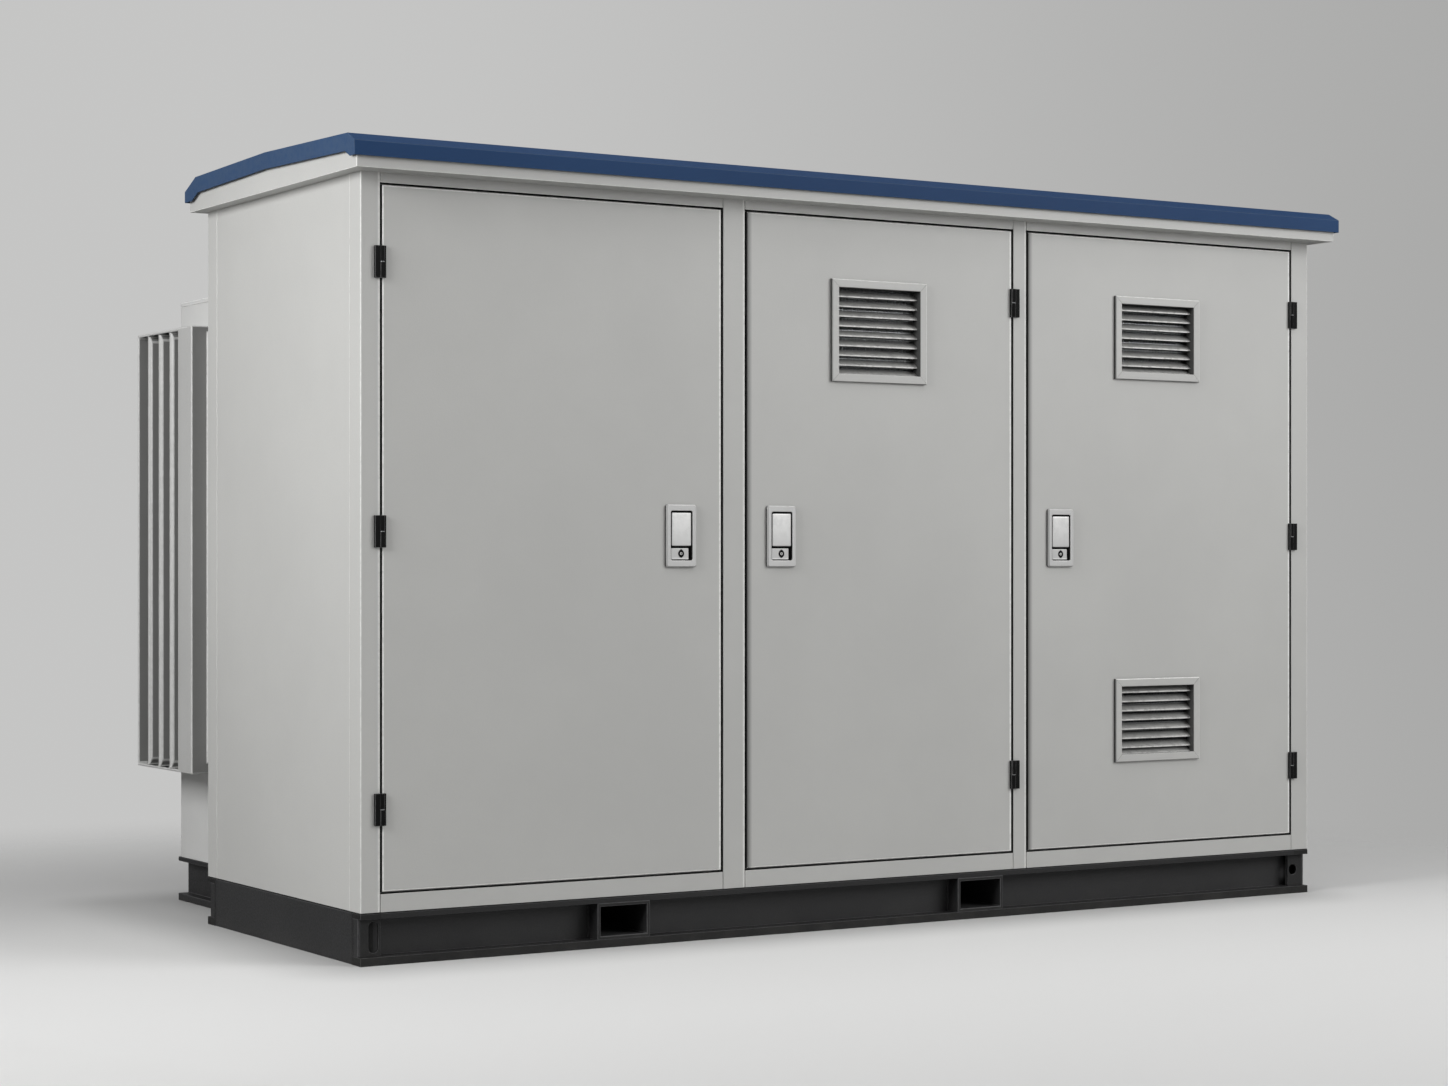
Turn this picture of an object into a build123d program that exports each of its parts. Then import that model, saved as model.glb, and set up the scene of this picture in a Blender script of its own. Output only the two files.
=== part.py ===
from build123d import *
import os

# Compact substation: steel cabinet with three doors on a skid, and an oil transformer behind it
# Millimetres. X runs along the doors from left to right, Y from front to back, Z up.
# The origin lies on the floor under the middle of the whole unit.

# Cabinet body
body_length = 3393.0
body_depth = 1100.0
base_height = 140.0
soffit_height = 2134.0
sheet = 3.0
joint_gap = 0.8
fold_radius = 4.0
panel_depth = 26.0
panel_recess = 1.0

# Posts and rails of the door frame
left_post_width = 58.0
mid_post_1_width = 75.0
mid_post_2_width = 51.0
right_post_width = 72.0
post_depth = 72.0
opening_1_width = 1081.0
opening_2_width = 970.0
sill_height = 52.0
header_height = 27.0
rail_depth = 72.0
stop_lip = 15.0
stop_clearance = 6.0

# Doors
door_gap = 6.0
door_thickness = 28.0
door_sheet = 2.5
door_return = 24.0

# Hinges
hinge_length = 87.0
hinge_proud = 12.5
pin_radius = 3.5
pin_clearance = 0.05
frame_leaf_width = 21.5
door_leaf_width = 10.5
leaf_thickness = 9.0
knuckle_gap = 0.6
knuckle_seat = 1.0
pin_root = 1.0
pin_end_gap = 0.5
knuckle_cap = 5.0
outer_hinge_inset = 208.0
outer_hinge_rise = 222.0
middle_hinge_shift = 11.5
door_2_hinge_inset = 221.0
door_2_hinge_rise = 235.0

# Latches
latch_width = 100.0
latch_height = 180.0
latch_proud = 10.0
latch_bevel = 6.0
latch_corner_radius = 8.0
latch_centre_height = 1160.0
latch_setback_1 = 138.0
latch_setback_2 = 115.0
latch_setback_3 = 122.0
tray_side_bar = 14.0
tray_top_bar = 18.0
tray_bottom_bar = 20.0
tray_depth = 12.0
tray_wall = 3.0
tray_fit = 0.5
paddle_thickness = 6.0
paddle_edge = 2.0
paddle_side_gap = 4.0
paddle_top_gap = 6.0
paddle_bottom_gap = 7.0
paddle_recess = 2.0
paddle_pivot_drop = 5.0
paddle_pin_radius = 2.0
lock_side_gap = 12.5
lock_height = 35.0
lock_recess = 2.0

# Vents
vent_bar = 24.0
vent_proud = 10.0
vent_bevel = 3.0
vent_opening_width = 294.0
vent_sleeve_wall = 3.0
vent_sleeve_depth = 30.0
vent_fit = 0.5
blade_pitch = 29.0
blade_front = 9.0
blade_lip = 6.0
blade_rise = 15.0
blade_sheet = 2.0
blade_end_gap = 1.5
vent_opening_height_door_2 = 256.0
vent_opening_height_door_3 = 214.0
vent_top_margin = 179.0
vent_bottom_margin = 258.0
vent_offset_door_2 = -17.0
vent_offset_door_3 = -27.0

# Roof
roof_fascia_front = 75.0
roof_fascia_side = 45.0
roof_fascia_rear = 30.0
fascia_height = 29.0
cap_overhang = 12.0
cap_face = 40.0
cap_chamfer_run = 46.0
cap_chamfer_rise = 24.0
cap_ridge_rise = 15.0
cap_rear_face = 33.0
cap_rear_chamfer_run = 86.0
cap_rear_chamfer_rise = 36.0
cap_end_band = 48.0
cap_end_lip = 17.0

# Skid base
top_flange = 14.0
bottom_flange = 23.0
web_recess = 52.0
web_thickness = 8.0
end_plate_inset = 1.0
end_plate_thickness = 6.0
corner_plate_thickness = 8.0
corner_plate_setback = 20.0
lifting_hole_inset = 47.0
lifting_hole_radius = 17.0
lifting_hole_margin = 4.0
lifting_hole_height = 76.0
lifting_slot_width = 30.0
lifting_slot_margin = 9.0
pocket_width = 170.0
pocket_wall = 10.0
pocket_1_centre = 811.0
pocket_2_centre = 2060.0
cross_beam_width = 60.0
cross_beam_gap = 30.0
floor_thickness = 4.0
floor_clearance = 0.3

# Transformer on its rear skid
skid_inset = 150.0
skid_flange_width = 60.0
skid_web_recess = 33.0
tank_gap = 134.0
tank_depth = 501.0
tank_top_height = 1904.0
tank_wall_radius = 30.0
lid_thickness = 12.0
lid_overhang = 1.0
radiator_depth = 150.0
radiator_bottom = 440.0
radiator_top_drop = 99.0
radiator_plate = 9.0
radiator_rear_inset = 35.0
header_length = 115.0
header_step_inset = 52.0
header_step_depth = 40.0
header_step_drop = 20.0
header_step_rise = 34.0
fin_pitch = 94.0
fin_thickness = 30.0
fin_recess = 4.0
fin_seam = 12.0
fin_edge_taper = 5.0
fin_end_taper = 18.0
duct_width = 1500.0
duct_top_drop = 204.0
duct_height = 450.0
duct_corner_radius = 5.0
lug_height = 55.0
lug_length = 80.0
lug_thickness = 14.0
lug_hole_radius = 14.0
lug_hole_rise = 30.0
lug_inset = 260.0

# Places worked out from the sizes above
total_depth = roof_fascia_front + cap_overhang + body_depth + tank_gap + tank_depth + radiator_depth
left = -body_length / 2
right = body_length / 2
front = -total_depth / 2 + roof_fascia_front + cap_overhang
rear = front + body_depth
opening_bottom = base_height + sill_height
opening_top = soffit_height - header_height
opening_3_width = (
    body_length - left_post_width - opening_1_width - mid_post_1_width
    - opening_2_width - mid_post_2_width - right_post_width
)
opening_1_left = left + left_post_width
opening_1_right = opening_1_left + opening_1_width
opening_2_left = opening_1_right + mid_post_1_width
opening_2_right = opening_2_left + opening_2_width
opening_3_left = opening_2_right + mid_post_2_width
opening_3_right = opening_3_left + opening_3_width
openings = (
    (opening_1_left, opening_1_right),
    (opening_2_left, opening_2_right),
    (opening_3_left, opening_3_right),
)
door_bottom = opening_bottom + door_gap
door_top = opening_top - door_gap
stop_plane = front + door_thickness + stop_clearance
pin_plane = front - hinge_proud / 2
web_plane = front + web_recess
tank_left = left + skid_inset
tank_right = right - skid_inset
tank_front_plane = rear + tank_gap
tank_rear_plane = tank_front_plane + tank_depth
channel_depth = web_recess + web_thickness
cap_bottom_height = soffit_height + fascia_height
radiator_top = tank_top_height - radiator_top_drop
duct_top = tank_top_height - duct_top_drop
tray_width = latch_width - 2 * tray_side_bar
tray_height = latch_height - tray_top_bar - tray_bottom_bar
tray_top = latch_centre_height + latch_height / 2 - tray_top_bar
tray_bottom = tray_top - tray_height
lock_width = tray_width - lock_side_gap
paddle_top = tray_top - paddle_top_gap
paddle_bottom = tray_bottom + lock_height + paddle_bottom_gap
pivot_height = paddle_top - paddle_pivot_drop
pivot_plane = front - latch_proud + paddle_recess + paddle_thickness / 2

os.makedirs("parts", exist_ok=True)


# Shared shapes

def block(x_range, y_range, z_range, mode=Mode.ADD):
    """A plate or bar between two corners."""
    size = [high - low for low, high in (x_range, y_range, z_range)]
    middle = [(high + low) / 2 for low, high in (x_range, y_range, z_range)]
    with Locations(tuple(middle)):
        Box(*size, mode=mode)


def closed_profile(points):
    """A face bounded by straight lines, inside a sketch."""
    Polygon(*points, align=None)


def save(builder, name):
    builder.part.label = name
    export_step(builder.part, f"parts/{name}.step")


# Skid base

def base_channel(flange_tip, web_face, web_back):
    """A long channel whose open side faces outwards, cut through for the forklift pockets."""
    with BuildPart() as channel:
        with BuildSketch(Plane.YZ.offset(left)):
            closed_profile([
                (flange_tip, 0),
                (web_back, 0),
                (web_back, base_height),
                (flange_tip, base_height),
                (flange_tip, base_height - top_flange),
                (web_face, base_height - top_flange),
                (web_face, bottom_flange),
                (flange_tip, bottom_flange),
            ])
        extrude(amount=body_length)
        for centre in (pocket_1_centre, pocket_2_centre):
            block(
                (left + centre - pocket_width / 2, left + centre + pocket_width / 2),
                (min(web_face, web_back), max(web_face, web_back)),
                (bottom_flange, base_height - top_flange),
                mode=Mode.SUBTRACT,
            )
    return channel


base_front_channel = base_channel(front, web_plane, web_plane + web_thickness)
save(base_front_channel, "base_front_channel")

base_rear_channel = base_channel(rear, rear - web_recess, rear - channel_depth)
save(base_rear_channel, "base_rear_channel")

with BuildPart() as base_end_plates:
    for side, outer in ((1, left + end_plate_inset), (-1, right - end_plate_inset)):
        x_range = sorted((outer, outer + side * end_plate_thickness))
        block(x_range, (front + channel_depth, rear - channel_depth), (0, base_height))
        for y_range in (
            (front + corner_plate_setback, front + web_recess),
            (rear - web_recess, rear - corner_plate_setback),
        ):
            block(x_range, y_range, (bottom_flange, base_height - top_flange))
save(base_end_plates, "base_end_plates")

# Corner plates close the channel ends: a slot on the left, a round hole on the right
with BuildPart() as base_corner_plates:
    plate_inner = end_plate_inset + end_plate_thickness
    plate_outer = lifting_hole_inset + lifting_hole_radius + lifting_hole_margin
    plate_low = bottom_flange
    plate_high = base_height - top_flange
    slot_height = plate_high - plate_low - 2 * lifting_slot_margin
    rear_start = rear - corner_plate_setback - corner_plate_thickness
    for start in (front + corner_plate_setback, rear_start):
        y_range = (start, start + corner_plate_thickness)
        block((left + plate_inner, left + plate_outer), y_range, (plate_low, plate_high))
        block((right - plate_outer, right - plate_inner), y_range, (plate_low, plate_high))
        with BuildSketch(Plane((0, start + corner_plate_thickness, 0), x_dir=(1, 0, 0), z_dir=(0, -1, 0))):
            with Locations((left + lifting_hole_inset, (plate_low + plate_high) / 2)):
                SlotOverall(slot_height, lifting_slot_width, rotation=90)
            with Locations((right - lifting_hole_inset, lifting_hole_height)):
                Circle(lifting_hole_radius)
        extrude(amount=corner_plate_thickness, mode=Mode.SUBTRACT)
save(base_corner_plates, "base_corner_plates")

with BuildPart() as forklift_pockets:
    with BuildSketch(Plane((0, rear, 0), x_dir=(1, 0, 0), z_dir=(0, -1, 0))):
        tube_height = base_height - top_flange - bottom_flange
        for centre in (pocket_1_centre, pocket_2_centre):
            with Locations((left + centre, bottom_flange + tube_height / 2)):
                Rectangle(pocket_width, tube_height)
                Rectangle(pocket_width - 2 * pocket_wall, tube_height - 2 * pocket_wall, mode=Mode.SUBTRACT)
    extrude(amount=body_depth)
save(forklift_pockets, "forklift_pockets")

# Two beams under the floor beside each pocket
with BuildPart() as base_cross_beams:
    for centre in (pocket_1_centre, pocket_2_centre):
        for side in (-1, 1):
            near = left + centre + side * (pocket_width / 2 + cross_beam_gap)
            block(
                sorted((near, near + side * cross_beam_width)),
                (front + channel_depth, rear - channel_depth),
                (bottom_flange, base_height),
            )
save(base_cross_beams, "base_cross_beams")

# Rear skid under the transformer
with BuildPart() as rear_skid_beams:
    for side, tip in ((1, tank_left), (-1, tank_right)):
        web_face = tip + side * skid_web_recess
        web_back = web_face + side * web_thickness
        flange_end = tip + side * skid_flange_width
        with BuildSketch(Plane((0, rear, 0), x_dir=(1, 0, 0), z_dir=(0, -1, 0))):
            closed_profile([
                (tip, 0),
                (flange_end, 0),
                (flange_end, bottom_flange),
                (web_back, bottom_flange),
                (web_back, base_height - top_flange),
                (flange_end, base_height - top_flange),
                (flange_end, base_height),
                (tip, base_height),
                (tip, base_height - top_flange),
                (web_face, base_height - top_flange),
                (web_face, bottom_flange),
                (tip, bottom_flange),
            ])
        extrude(amount=-(tank_rear_plane - rear))
save(rear_skid_beams, "rear_skid_beams")

with BuildPart() as rear_skid_crossbeams:
    beam_left = tank_left + skid_flange_width
    beam_right = tank_right - skid_flange_width
    for start in (tank_front_plane, tank_rear_plane - channel_depth):
        with BuildSketch(Plane.YZ.offset(beam_left)):
            closed_profile([
                (start, 0),
                (start + channel_depth, 0),
                (start + channel_depth, bottom_flange),
                (start + web_thickness, bottom_flange),
                (start + web_thickness, base_height - top_flange),
                (start + channel_depth, base_height - top_flange),
                (start + channel_depth, base_height),
                (start, base_height),
            ])
        extrude(amount=beam_right - beam_left)
save(rear_skid_crossbeams, "rear_skid_crossbeams")

# Cabinet frame

def hollow_post(x_low, x_high, y_low, y_high, lips, outer_fold):
    """A folded sheet post, with stop lips beside it for the doors it serves."""
    with BuildPart() as post:
        with BuildSketch(Plane.XY.offset(base_height)):
            with Locations(((x_low + x_high) / 2, (y_low + y_high) / 2)):
                RectangleRounded(x_high - x_low, y_high - y_low, outer_fold)
                Rectangle(x_high - x_low - 2 * sheet, y_high - y_low - 2 * sheet, mode=Mode.SUBTRACT)
        extrude(amount=soffit_height - base_height)
        for side in lips:
            edge = x_low if side < 0 else x_high
            x_range = sorted((edge - side * sheet / 2, edge + side * stop_lip))
            block(x_range, (stop_plane, stop_plane + sheet), (opening_bottom, opening_top))
    return post


posts = {
    "front_left_post": (left, opening_1_left, front, front + post_depth, (1,)),
    "mid_post_left": (opening_1_right, opening_2_left, front, front + post_depth, (-1, 1)),
    "mid_post_right": (opening_2_right, opening_3_left, front, front + post_depth, (-1, 1)),
    "front_right_post": (opening_3_right, right, front, front + post_depth, (-1,)),
    "rear_left_post": (left, left + left_post_width, rear - post_depth, rear, ()),
    "rear_right_post": (right - right_post_width, right, rear - post_depth, rear, ()),
}
for post_name, (x_low, x_high, y_low, y_high, lips) in posts.items():
    save(hollow_post(x_low, x_high, y_low, y_high, lips, fold_radius), post_name)


def rail_set(z_low, z_high, lip_from, lip_to):
    """Three rails between the posts, one for each doorway, with a stop lip along the doorway."""
    with BuildPart() as rails:
        for x_low, x_high in openings:
            with BuildSketch(Plane.YZ.offset(x_low + joint_gap / 2)):
                with Locations((front + rail_depth / 2, (z_low + z_high) / 2)):
                    Rectangle(rail_depth, z_high - z_low)
                    Rectangle(rail_depth - 2 * sheet, z_high - z_low - 2 * sheet, mode=Mode.SUBTRACT)
            extrude(amount=x_high - x_low - joint_gap)
            block(
                (x_low + stop_lip + joint_gap, x_high - stop_lip - joint_gap),
                (stop_plane, stop_plane + sheet),
                (lip_from, lip_to),
            )
    return rails


save(rail_set(base_height, opening_bottom, opening_bottom - sheet / 2, opening_bottom + stop_lip), "door_sills")
save(rail_set(opening_top, soffit_height, opening_top - stop_lip, opening_top + sheet / 2), "door_headers")

# Wall panels: sheets with folded returns between the posts

def wall_pan(x_range, y_range, z_range, inward):
    """A sheet with its four edges folded inwards. inward is the direction of the open side."""
    with BuildPart() as pan:
        block(x_range, y_range, z_range)
        if inward[0]:
            open_face = pan.faces().sort_by(Axis.X)[-1 if inward[0] > 0 else 0]
        else:
            open_face = pan.faces().sort_by(Axis.Y)[-1 if inward[1] > 0 else 0]
        offset(amount=-sheet, openings=open_face, kind=Kind.INTERSECTION)
    return pan


side_y = (front + post_depth + joint_gap, rear - post_depth - joint_gap)
full_z = (base_height, soffit_height)
left_wall = wall_pan((left + panel_recess, left + panel_recess + panel_depth), side_y, full_z, (1, 0))
save(left_wall, "left_wall")
right_wall = wall_pan((right - panel_recess - panel_depth, right - panel_recess), side_y, full_z, (-1, 0))
save(right_wall, "right_wall")

with BuildPart() as rear_wall:
    wall_left = left + left_post_width + joint_gap
    wall_right = right - right_post_width - joint_gap
    panel_width = (wall_right - wall_left) / 3
    for index in range(3):
        panel_left = wall_left + panel_width * index
        panel_right = panel_left + panel_width - (joint_gap if index < 2 else 0)
        block(
            (panel_left, panel_right),
            (rear - panel_recess - panel_depth, rear - panel_recess),
            full_z,
        )
        block(
            (panel_left + sheet, panel_right - sheet),
            (rear - panel_recess - panel_depth, rear - panel_recess - sheet),
            (base_height + sheet, soffit_height - sheet),
            mode=Mode.SUBTRACT,
        )
save(rear_wall, "rear_wall")

with BuildPart() as floor_plate:
    block(
        (left + right_post_width + floor_clearance, right - right_post_width - floor_clearance),
        (front + rail_depth + floor_clearance, rear - post_depth - floor_clearance),
        (base_height, base_height + floor_thickness),
    )
save(floor_plate, "floor_plate")

# Roof

def roof_outline(inset, drop, bottom):
    """Gable of the roof, with chamfered eaves and a shallow ridge half way between them."""
    eave = front - roof_fascia_front - cap_overhang + inset
    back = rear + roof_fascia_rear + cap_overhang - inset
    face_top = cap_bottom_height + cap_face - drop
    shoulder = face_top + cap_chamfer_rise
    rear_face_top = cap_bottom_height + cap_rear_face - drop
    return [
        (eave, bottom),
        (eave, face_top),
        (eave + cap_chamfer_run, shoulder),
        ((eave + back) / 2, shoulder + cap_ridge_rise),
        (back - cap_rear_chamfer_run, rear_face_top + cap_rear_chamfer_rise),
        (back, rear_face_top),
        (back, bottom),
    ]


roof_left = left - roof_fascia_side
roof_right = right + roof_fascia_side

with BuildPart() as roof_cap:
    cap_left = roof_left - cap_overhang
    cap_length = body_length + 2 * (roof_fascia_side + cap_overhang)
    with BuildSketch(Plane.YZ.offset(cap_left)):
        closed_profile(roof_outline(0, 0, cap_bottom_height))
    extrude(amount=cap_length)
    with BuildSketch(Plane.YZ.offset(cap_left + sheet)):
        closed_profile(roof_outline(sheet, sheet, cap_bottom_height - sheet))
    extrude(amount=cap_length - 2 * sheet, mode=Mode.SUBTRACT)
    with BuildSketch(Plane.YZ.offset(cap_left)):
        closed_profile(roof_outline(cap_end_lip, cap_end_band, cap_bottom_height - cap_end_band))
    extrude(amount=cap_length, mode=Mode.SUBTRACT)
save(roof_cap, "roof_cap")

with BuildPart() as roof_frame:
    with BuildSketch(Plane.YZ.offset(roof_left)):
        closed_profile(roof_outline(cap_overhang, sheet, soffit_height))
    extrude(amount=roof_right - roof_left)
    with BuildSketch(Plane.YZ.offset(roof_left + sheet)):
        closed_profile(roof_outline(cap_overhang + sheet, 2 * sheet, soffit_height + sheet))
    extrude(amount=roof_right - roof_left - 2 * sheet, mode=Mode.SUBTRACT)
    block(
        (left + right_post_width, right - right_post_width),
        (front + post_depth, rear - post_depth),
        (soffit_height, soffit_height + sheet),
        mode=Mode.SUBTRACT,
    )
save(roof_frame, "roof_frame")

# Transformer

with BuildPart() as transformer_tank:
    with BuildSketch(Plane.XY.offset(base_height)):
        with Locations((0, (tank_front_plane + tank_rear_plane) / 2)):
            Rectangle(tank_right - tank_left, tank_rear_plane - tank_front_plane)
    extrude(amount=tank_top_height - base_height)
    fillet(transformer_tank.edges().filter_by(Axis.Z), tank_wall_radius)
save(transformer_tank, "transformer_tank")

with BuildPart() as tank_lid:
    with BuildSketch(Plane.XY.offset(tank_top_height)):
        with Locations((0, (tank_front_plane + tank_rear_plane) / 2)):
            RectangleRounded(
                tank_right - tank_left + 2 * lid_overhang,
                tank_rear_plane - tank_front_plane + 2 * lid_overhang,
                tank_wall_radius,
            )
    extrude(amount=lid_thickness)
save(tank_lid, "tank_lid")

lid_top = tank_top_height + lid_thickness

with BuildPart() as lifting_lugs:
    for x_centre in (tank_left + lug_inset, tank_right - lug_inset):
        for y_centre in (tank_front_plane + lug_length, tank_rear_plane - lug_length):
            with BuildSketch(Plane((x_centre - lug_thickness / 2, 0, 0), x_dir=(0, 1, 0), z_dir=(1, 0, 0))):
                with Locations((y_centre, lid_top + lug_height / 2)):
                    Rectangle(lug_length, lug_height)
                with Locations((y_centre, lid_top + lug_hole_rise)):
                    Circle(lug_hole_radius, mode=Mode.SUBTRACT)
            extrude(amount=lug_thickness)
save(lifting_lugs, "lifting_lugs")

with BuildPart() as bushing_duct:
    block((-duct_width / 2, duct_width / 2), (rear, tank_front_plane), (duct_top - duct_height, duct_top))
    fillet(bushing_duct.edges().filter_by(Axis.Y), duct_corner_radius)
save(bushing_duct, "bushing_duct")


def cooling_fin(root, tip, middle, along_x):
    """One hollow-pressed fin from its root to its tip. The tip and both ends narrow to the welded seam."""
    half = fin_thickness / 2
    seam = fin_seam / 2
    shoulder = tip + fin_edge_taper * (1 if root > tip else -1)
    low = radiator_bottom + radiator_plate
    high = radiator_top - radiator_plate
    plan = [
        (root, -half), (shoulder, -half), (tip, -seam),
        (tip, seam), (shoulder, half), (root, half),
    ]
    elevation = [
        (-seam, low), (seam, low), (half, low + fin_end_taper), (half, high - fin_end_taper),
        (seam, high), (-seam, high), (-half, high - fin_end_taper), (-half, low + fin_end_taper),
    ]
    with BuildPart() as fin:
        with BuildSketch(Plane.XY.offset(low)):
            if along_x:
                closed_profile([(place, middle + width) for place, width in plan])
            else:
                closed_profile([(middle + width, place) for place, width in plan])
        extrude(amount=high - low)
        start = min(root, tip)
        if along_x:
            face = Plane((start, 0, 0), x_dir=(0, 1, 0), z_dir=(1, 0, 0))
        else:
            face = Plane((0, start + abs(root - tip), 0), x_dir=(1, 0, 0), z_dir=(0, -1, 0))
        with BuildSketch(face):
            closed_profile([(middle + width, height) for width, height in elevation])
        extrude(amount=abs(root - tip), mode=Mode.INTERSECT)
    return fin


def side_radiator(side):
    """Cooling bank on one end of the tank: header box, fins, and thin plates round them."""
    outer = left if side < 0 else right
    root = tank_left if side < 0 else tank_right
    inward = -side
    bank_front = tank_front_plane
    bank_rear = tank_rear_plane - radiator_rear_inset
    fins_length = bank_rear - radiator_plate - bank_front - header_length
    fins = [
        cooling_fin(
            root,
            outer + inward * fin_recess,
            bank_rear - radiator_plate - fin_pitch * (index + 1) + fin_thickness / 2,
            True,
        )
        for index in range(int(fins_length / fin_pitch))
    ]
    with BuildPart() as bank:
        box_x = sorted((outer, root))
        block(box_x, (bank_front, bank_front + header_length), (radiator_bottom, radiator_top))
        block(
            sorted((outer + inward * header_step_inset, root)),
            (bank_front - header_step_depth, bank_front + header_length),
            (radiator_bottom + header_step_rise, radiator_top - header_step_drop),
        )
        for z_low in (radiator_bottom, radiator_top - radiator_plate):
            block(box_x, (bank_front + header_length, bank_rear), (z_low, z_low + radiator_plate))
        block(box_x, (bank_rear - radiator_plate, bank_rear), (radiator_bottom, radiator_top))
        for fin in fins:
            add(fin.part)
    return bank


save(side_radiator(-1), "left_radiator")
save(side_radiator(1), "right_radiator")

rear_bank_left = tank_left + tank_wall_radius
rear_bank_right = tank_right - tank_wall_radius
rear_fin_count = int((rear_bank_right - rear_bank_left) / fin_pitch) - 1
rear_fin_start = (rear_bank_left + rear_bank_right) / 2 - fin_pitch * (rear_fin_count - 1) / 2
rear_fins = [
    cooling_fin(
        tank_rear_plane,
        tank_rear_plane + radiator_depth - fin_recess,
        rear_fin_start + fin_pitch * index,
        False,
    )
    for index in range(rear_fin_count)
]

with BuildPart() as rear_radiator:
    bank_y = (tank_rear_plane, tank_rear_plane + radiator_depth)
    for z_low in (radiator_bottom, radiator_top - radiator_plate):
        block((rear_bank_left, rear_bank_right), bank_y, (z_low, z_low + radiator_plate))
    for x_low in (rear_bank_left, rear_bank_right - radiator_plate):
        block((x_low, x_low + radiator_plate), bank_y, (radiator_bottom, radiator_top))
    for fin in rear_fins:
        add(fin.part)
save(rear_radiator, "rear_radiator")

# Doors

def vent_sizes(opening_height):
    return vent_opening_width + 2 * vent_bar, opening_height + 2 * vent_bar


def make_vent(x_centre, z_centre, opening_height):
    """Square frame that stands proud of the door, with a sleeve that carries sloping blades."""
    width, height = vent_sizes(opening_height)
    face = Plane((x_centre, front, z_centre), x_dir=(1, 0, 0), z_dir=(0, -1, 0))
    with BuildPart() as vent:
        with BuildSketch(face):
            Rectangle(width, height)
        extrude(amount=vent_proud)
        chamfer(vent.faces().sort_by(Axis.Y)[0].edges(), vent_bevel)
        with BuildSketch(face):
            Rectangle(vent_opening_width + 2 * vent_sleeve_wall, opening_height + 2 * vent_sleeve_wall)
        extrude(amount=-vent_sleeve_depth)
        with BuildSketch(face.offset(vent_proud)):
            Rectangle(vent_opening_width, opening_height)
        extrude(amount=-(vent_proud + vent_sleeve_depth), mode=Mode.SUBTRACT)
        blade_run = vent_sleeve_depth - blade_front
        blade_reach = blade_lip / 2 + blade_rise + blade_end_gap
        blade_count = int((opening_height - 2 * blade_reach) / blade_pitch) + 1
        y_lip = front + blade_front
        for index in range(blade_count):
            z_lip = z_centre + blade_pitch * ((blade_count - 1) / 2 - index)
            with BuildSketch(Plane.YZ.offset(x_centre - vent_opening_width / 2)):
                closed_profile([
                    (y_lip, z_lip - blade_lip / 2),
                    (y_lip + blade_sheet, z_lip - blade_lip / 2),
                    (y_lip + blade_sheet, z_lip + blade_lip / 2 - blade_sheet / 2),
                    (y_lip + blade_run, z_lip + blade_lip / 2 + blade_rise - blade_sheet),
                    (y_lip + blade_run, z_lip + blade_lip / 2 + blade_rise),
                    (y_lip, z_lip + blade_lip / 2),
                ])
            extrude(amount=vent_opening_width)
    return vent


def make_door(x_low, x_high, latch_x, vents):
    """Door pan: front sheet with folded edges, cut for its latch and vents, with stiffeners inside."""
    with BuildPart() as door:
        block((x_low, x_high), (front, front + door_thickness), (door_bottom, door_top))
        fillet(door.faces().sort_by(Axis.Y)[0].edges(), fold_radius)
        pocket = (front + door_sheet, front + door_thickness)
        block(
            (x_low + door_sheet, x_high - door_sheet),
            pocket,
            (door_bottom + door_sheet, door_top - door_sheet),
            mode=Mode.SUBTRACT,
        )
        for z_low in (door_bottom + door_sheet, door_top - door_sheet - door_return):
            block(
                (x_low + door_sheet, x_high - door_sheet),
                (front + door_thickness - door_sheet, front + door_thickness),
                (z_low, z_low + door_return),
            )
        for x_edge in (x_low + door_sheet, x_high - door_sheet - door_return):
            block(
                (x_edge, x_edge + door_return),
                (front + door_thickness - door_sheet, front + door_thickness),
                (door_bottom + door_sheet, door_top - door_sheet),
            )
        tray_x = tray_width / 2 + tray_wall + tray_fit
        block(
            (latch_x - tray_x, latch_x + tray_x),
            (front, front + door_sheet),
            (tray_bottom - tray_wall - tray_fit, tray_top + tray_wall + tray_fit),
            mode=Mode.SUBTRACT,
        )
        for x_centre, z_centre, opening_height in vents:
            half_width = vent_opening_width / 2 + vent_sleeve_wall + vent_fit
            half_height = opening_height / 2 + vent_sleeve_wall + vent_fit
            block(
                (x_centre - half_width, x_centre + half_width),
                (front, front + door_sheet),
                (z_centre - half_height, z_centre + half_height),
                mode=Mode.SUBTRACT,
            )
    return door


def make_latch(latch_x):
    """Flush latch: bevelled bezel, tray behind it, and the lock block at the foot of the tray."""
    tray_middle = (tray_top + tray_bottom) / 2
    face = Plane((latch_x, front, 0), x_dir=(1, 0, 0), z_dir=(0, -1, 0))
    with BuildPart() as latch:
        with BuildSketch(face):
            with Locations((0, latch_centre_height)):
                RectangleRounded(latch_width, latch_height, latch_corner_radius)
        extrude(amount=latch_proud)
        chamfer(latch.faces().sort_by(Axis.Y)[0].edges(), latch_bevel)
        with BuildSketch(face):
            with Locations((0, tray_middle)):
                Rectangle(tray_width + 2 * tray_wall, tray_height + 2 * tray_wall)
        extrude(amount=-(tray_depth + tray_wall))
        with BuildSketch(face.offset(latch_proud)):
            with Locations((0, tray_middle)):
                Rectangle(tray_width, tray_height)
        extrude(amount=-(latch_proud + tray_depth), mode=Mode.SUBTRACT)
        lock_left = latch_x - tray_width / 2
        block(
            (lock_left, lock_left + lock_width),
            (front - latch_proud + lock_recess, front + tray_depth),
            (tray_bottom, tray_bottom + lock_height),
        )
        with BuildSketch(Plane.YZ.offset(latch_x - tray_width / 2 - tray_wall)):
            with Locations((pivot_plane, pivot_height)):
                Circle(paddle_pin_radius + pin_clearance)
        extrude(amount=tray_width + 2 * tray_wall, mode=Mode.SUBTRACT)
    return latch


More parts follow.
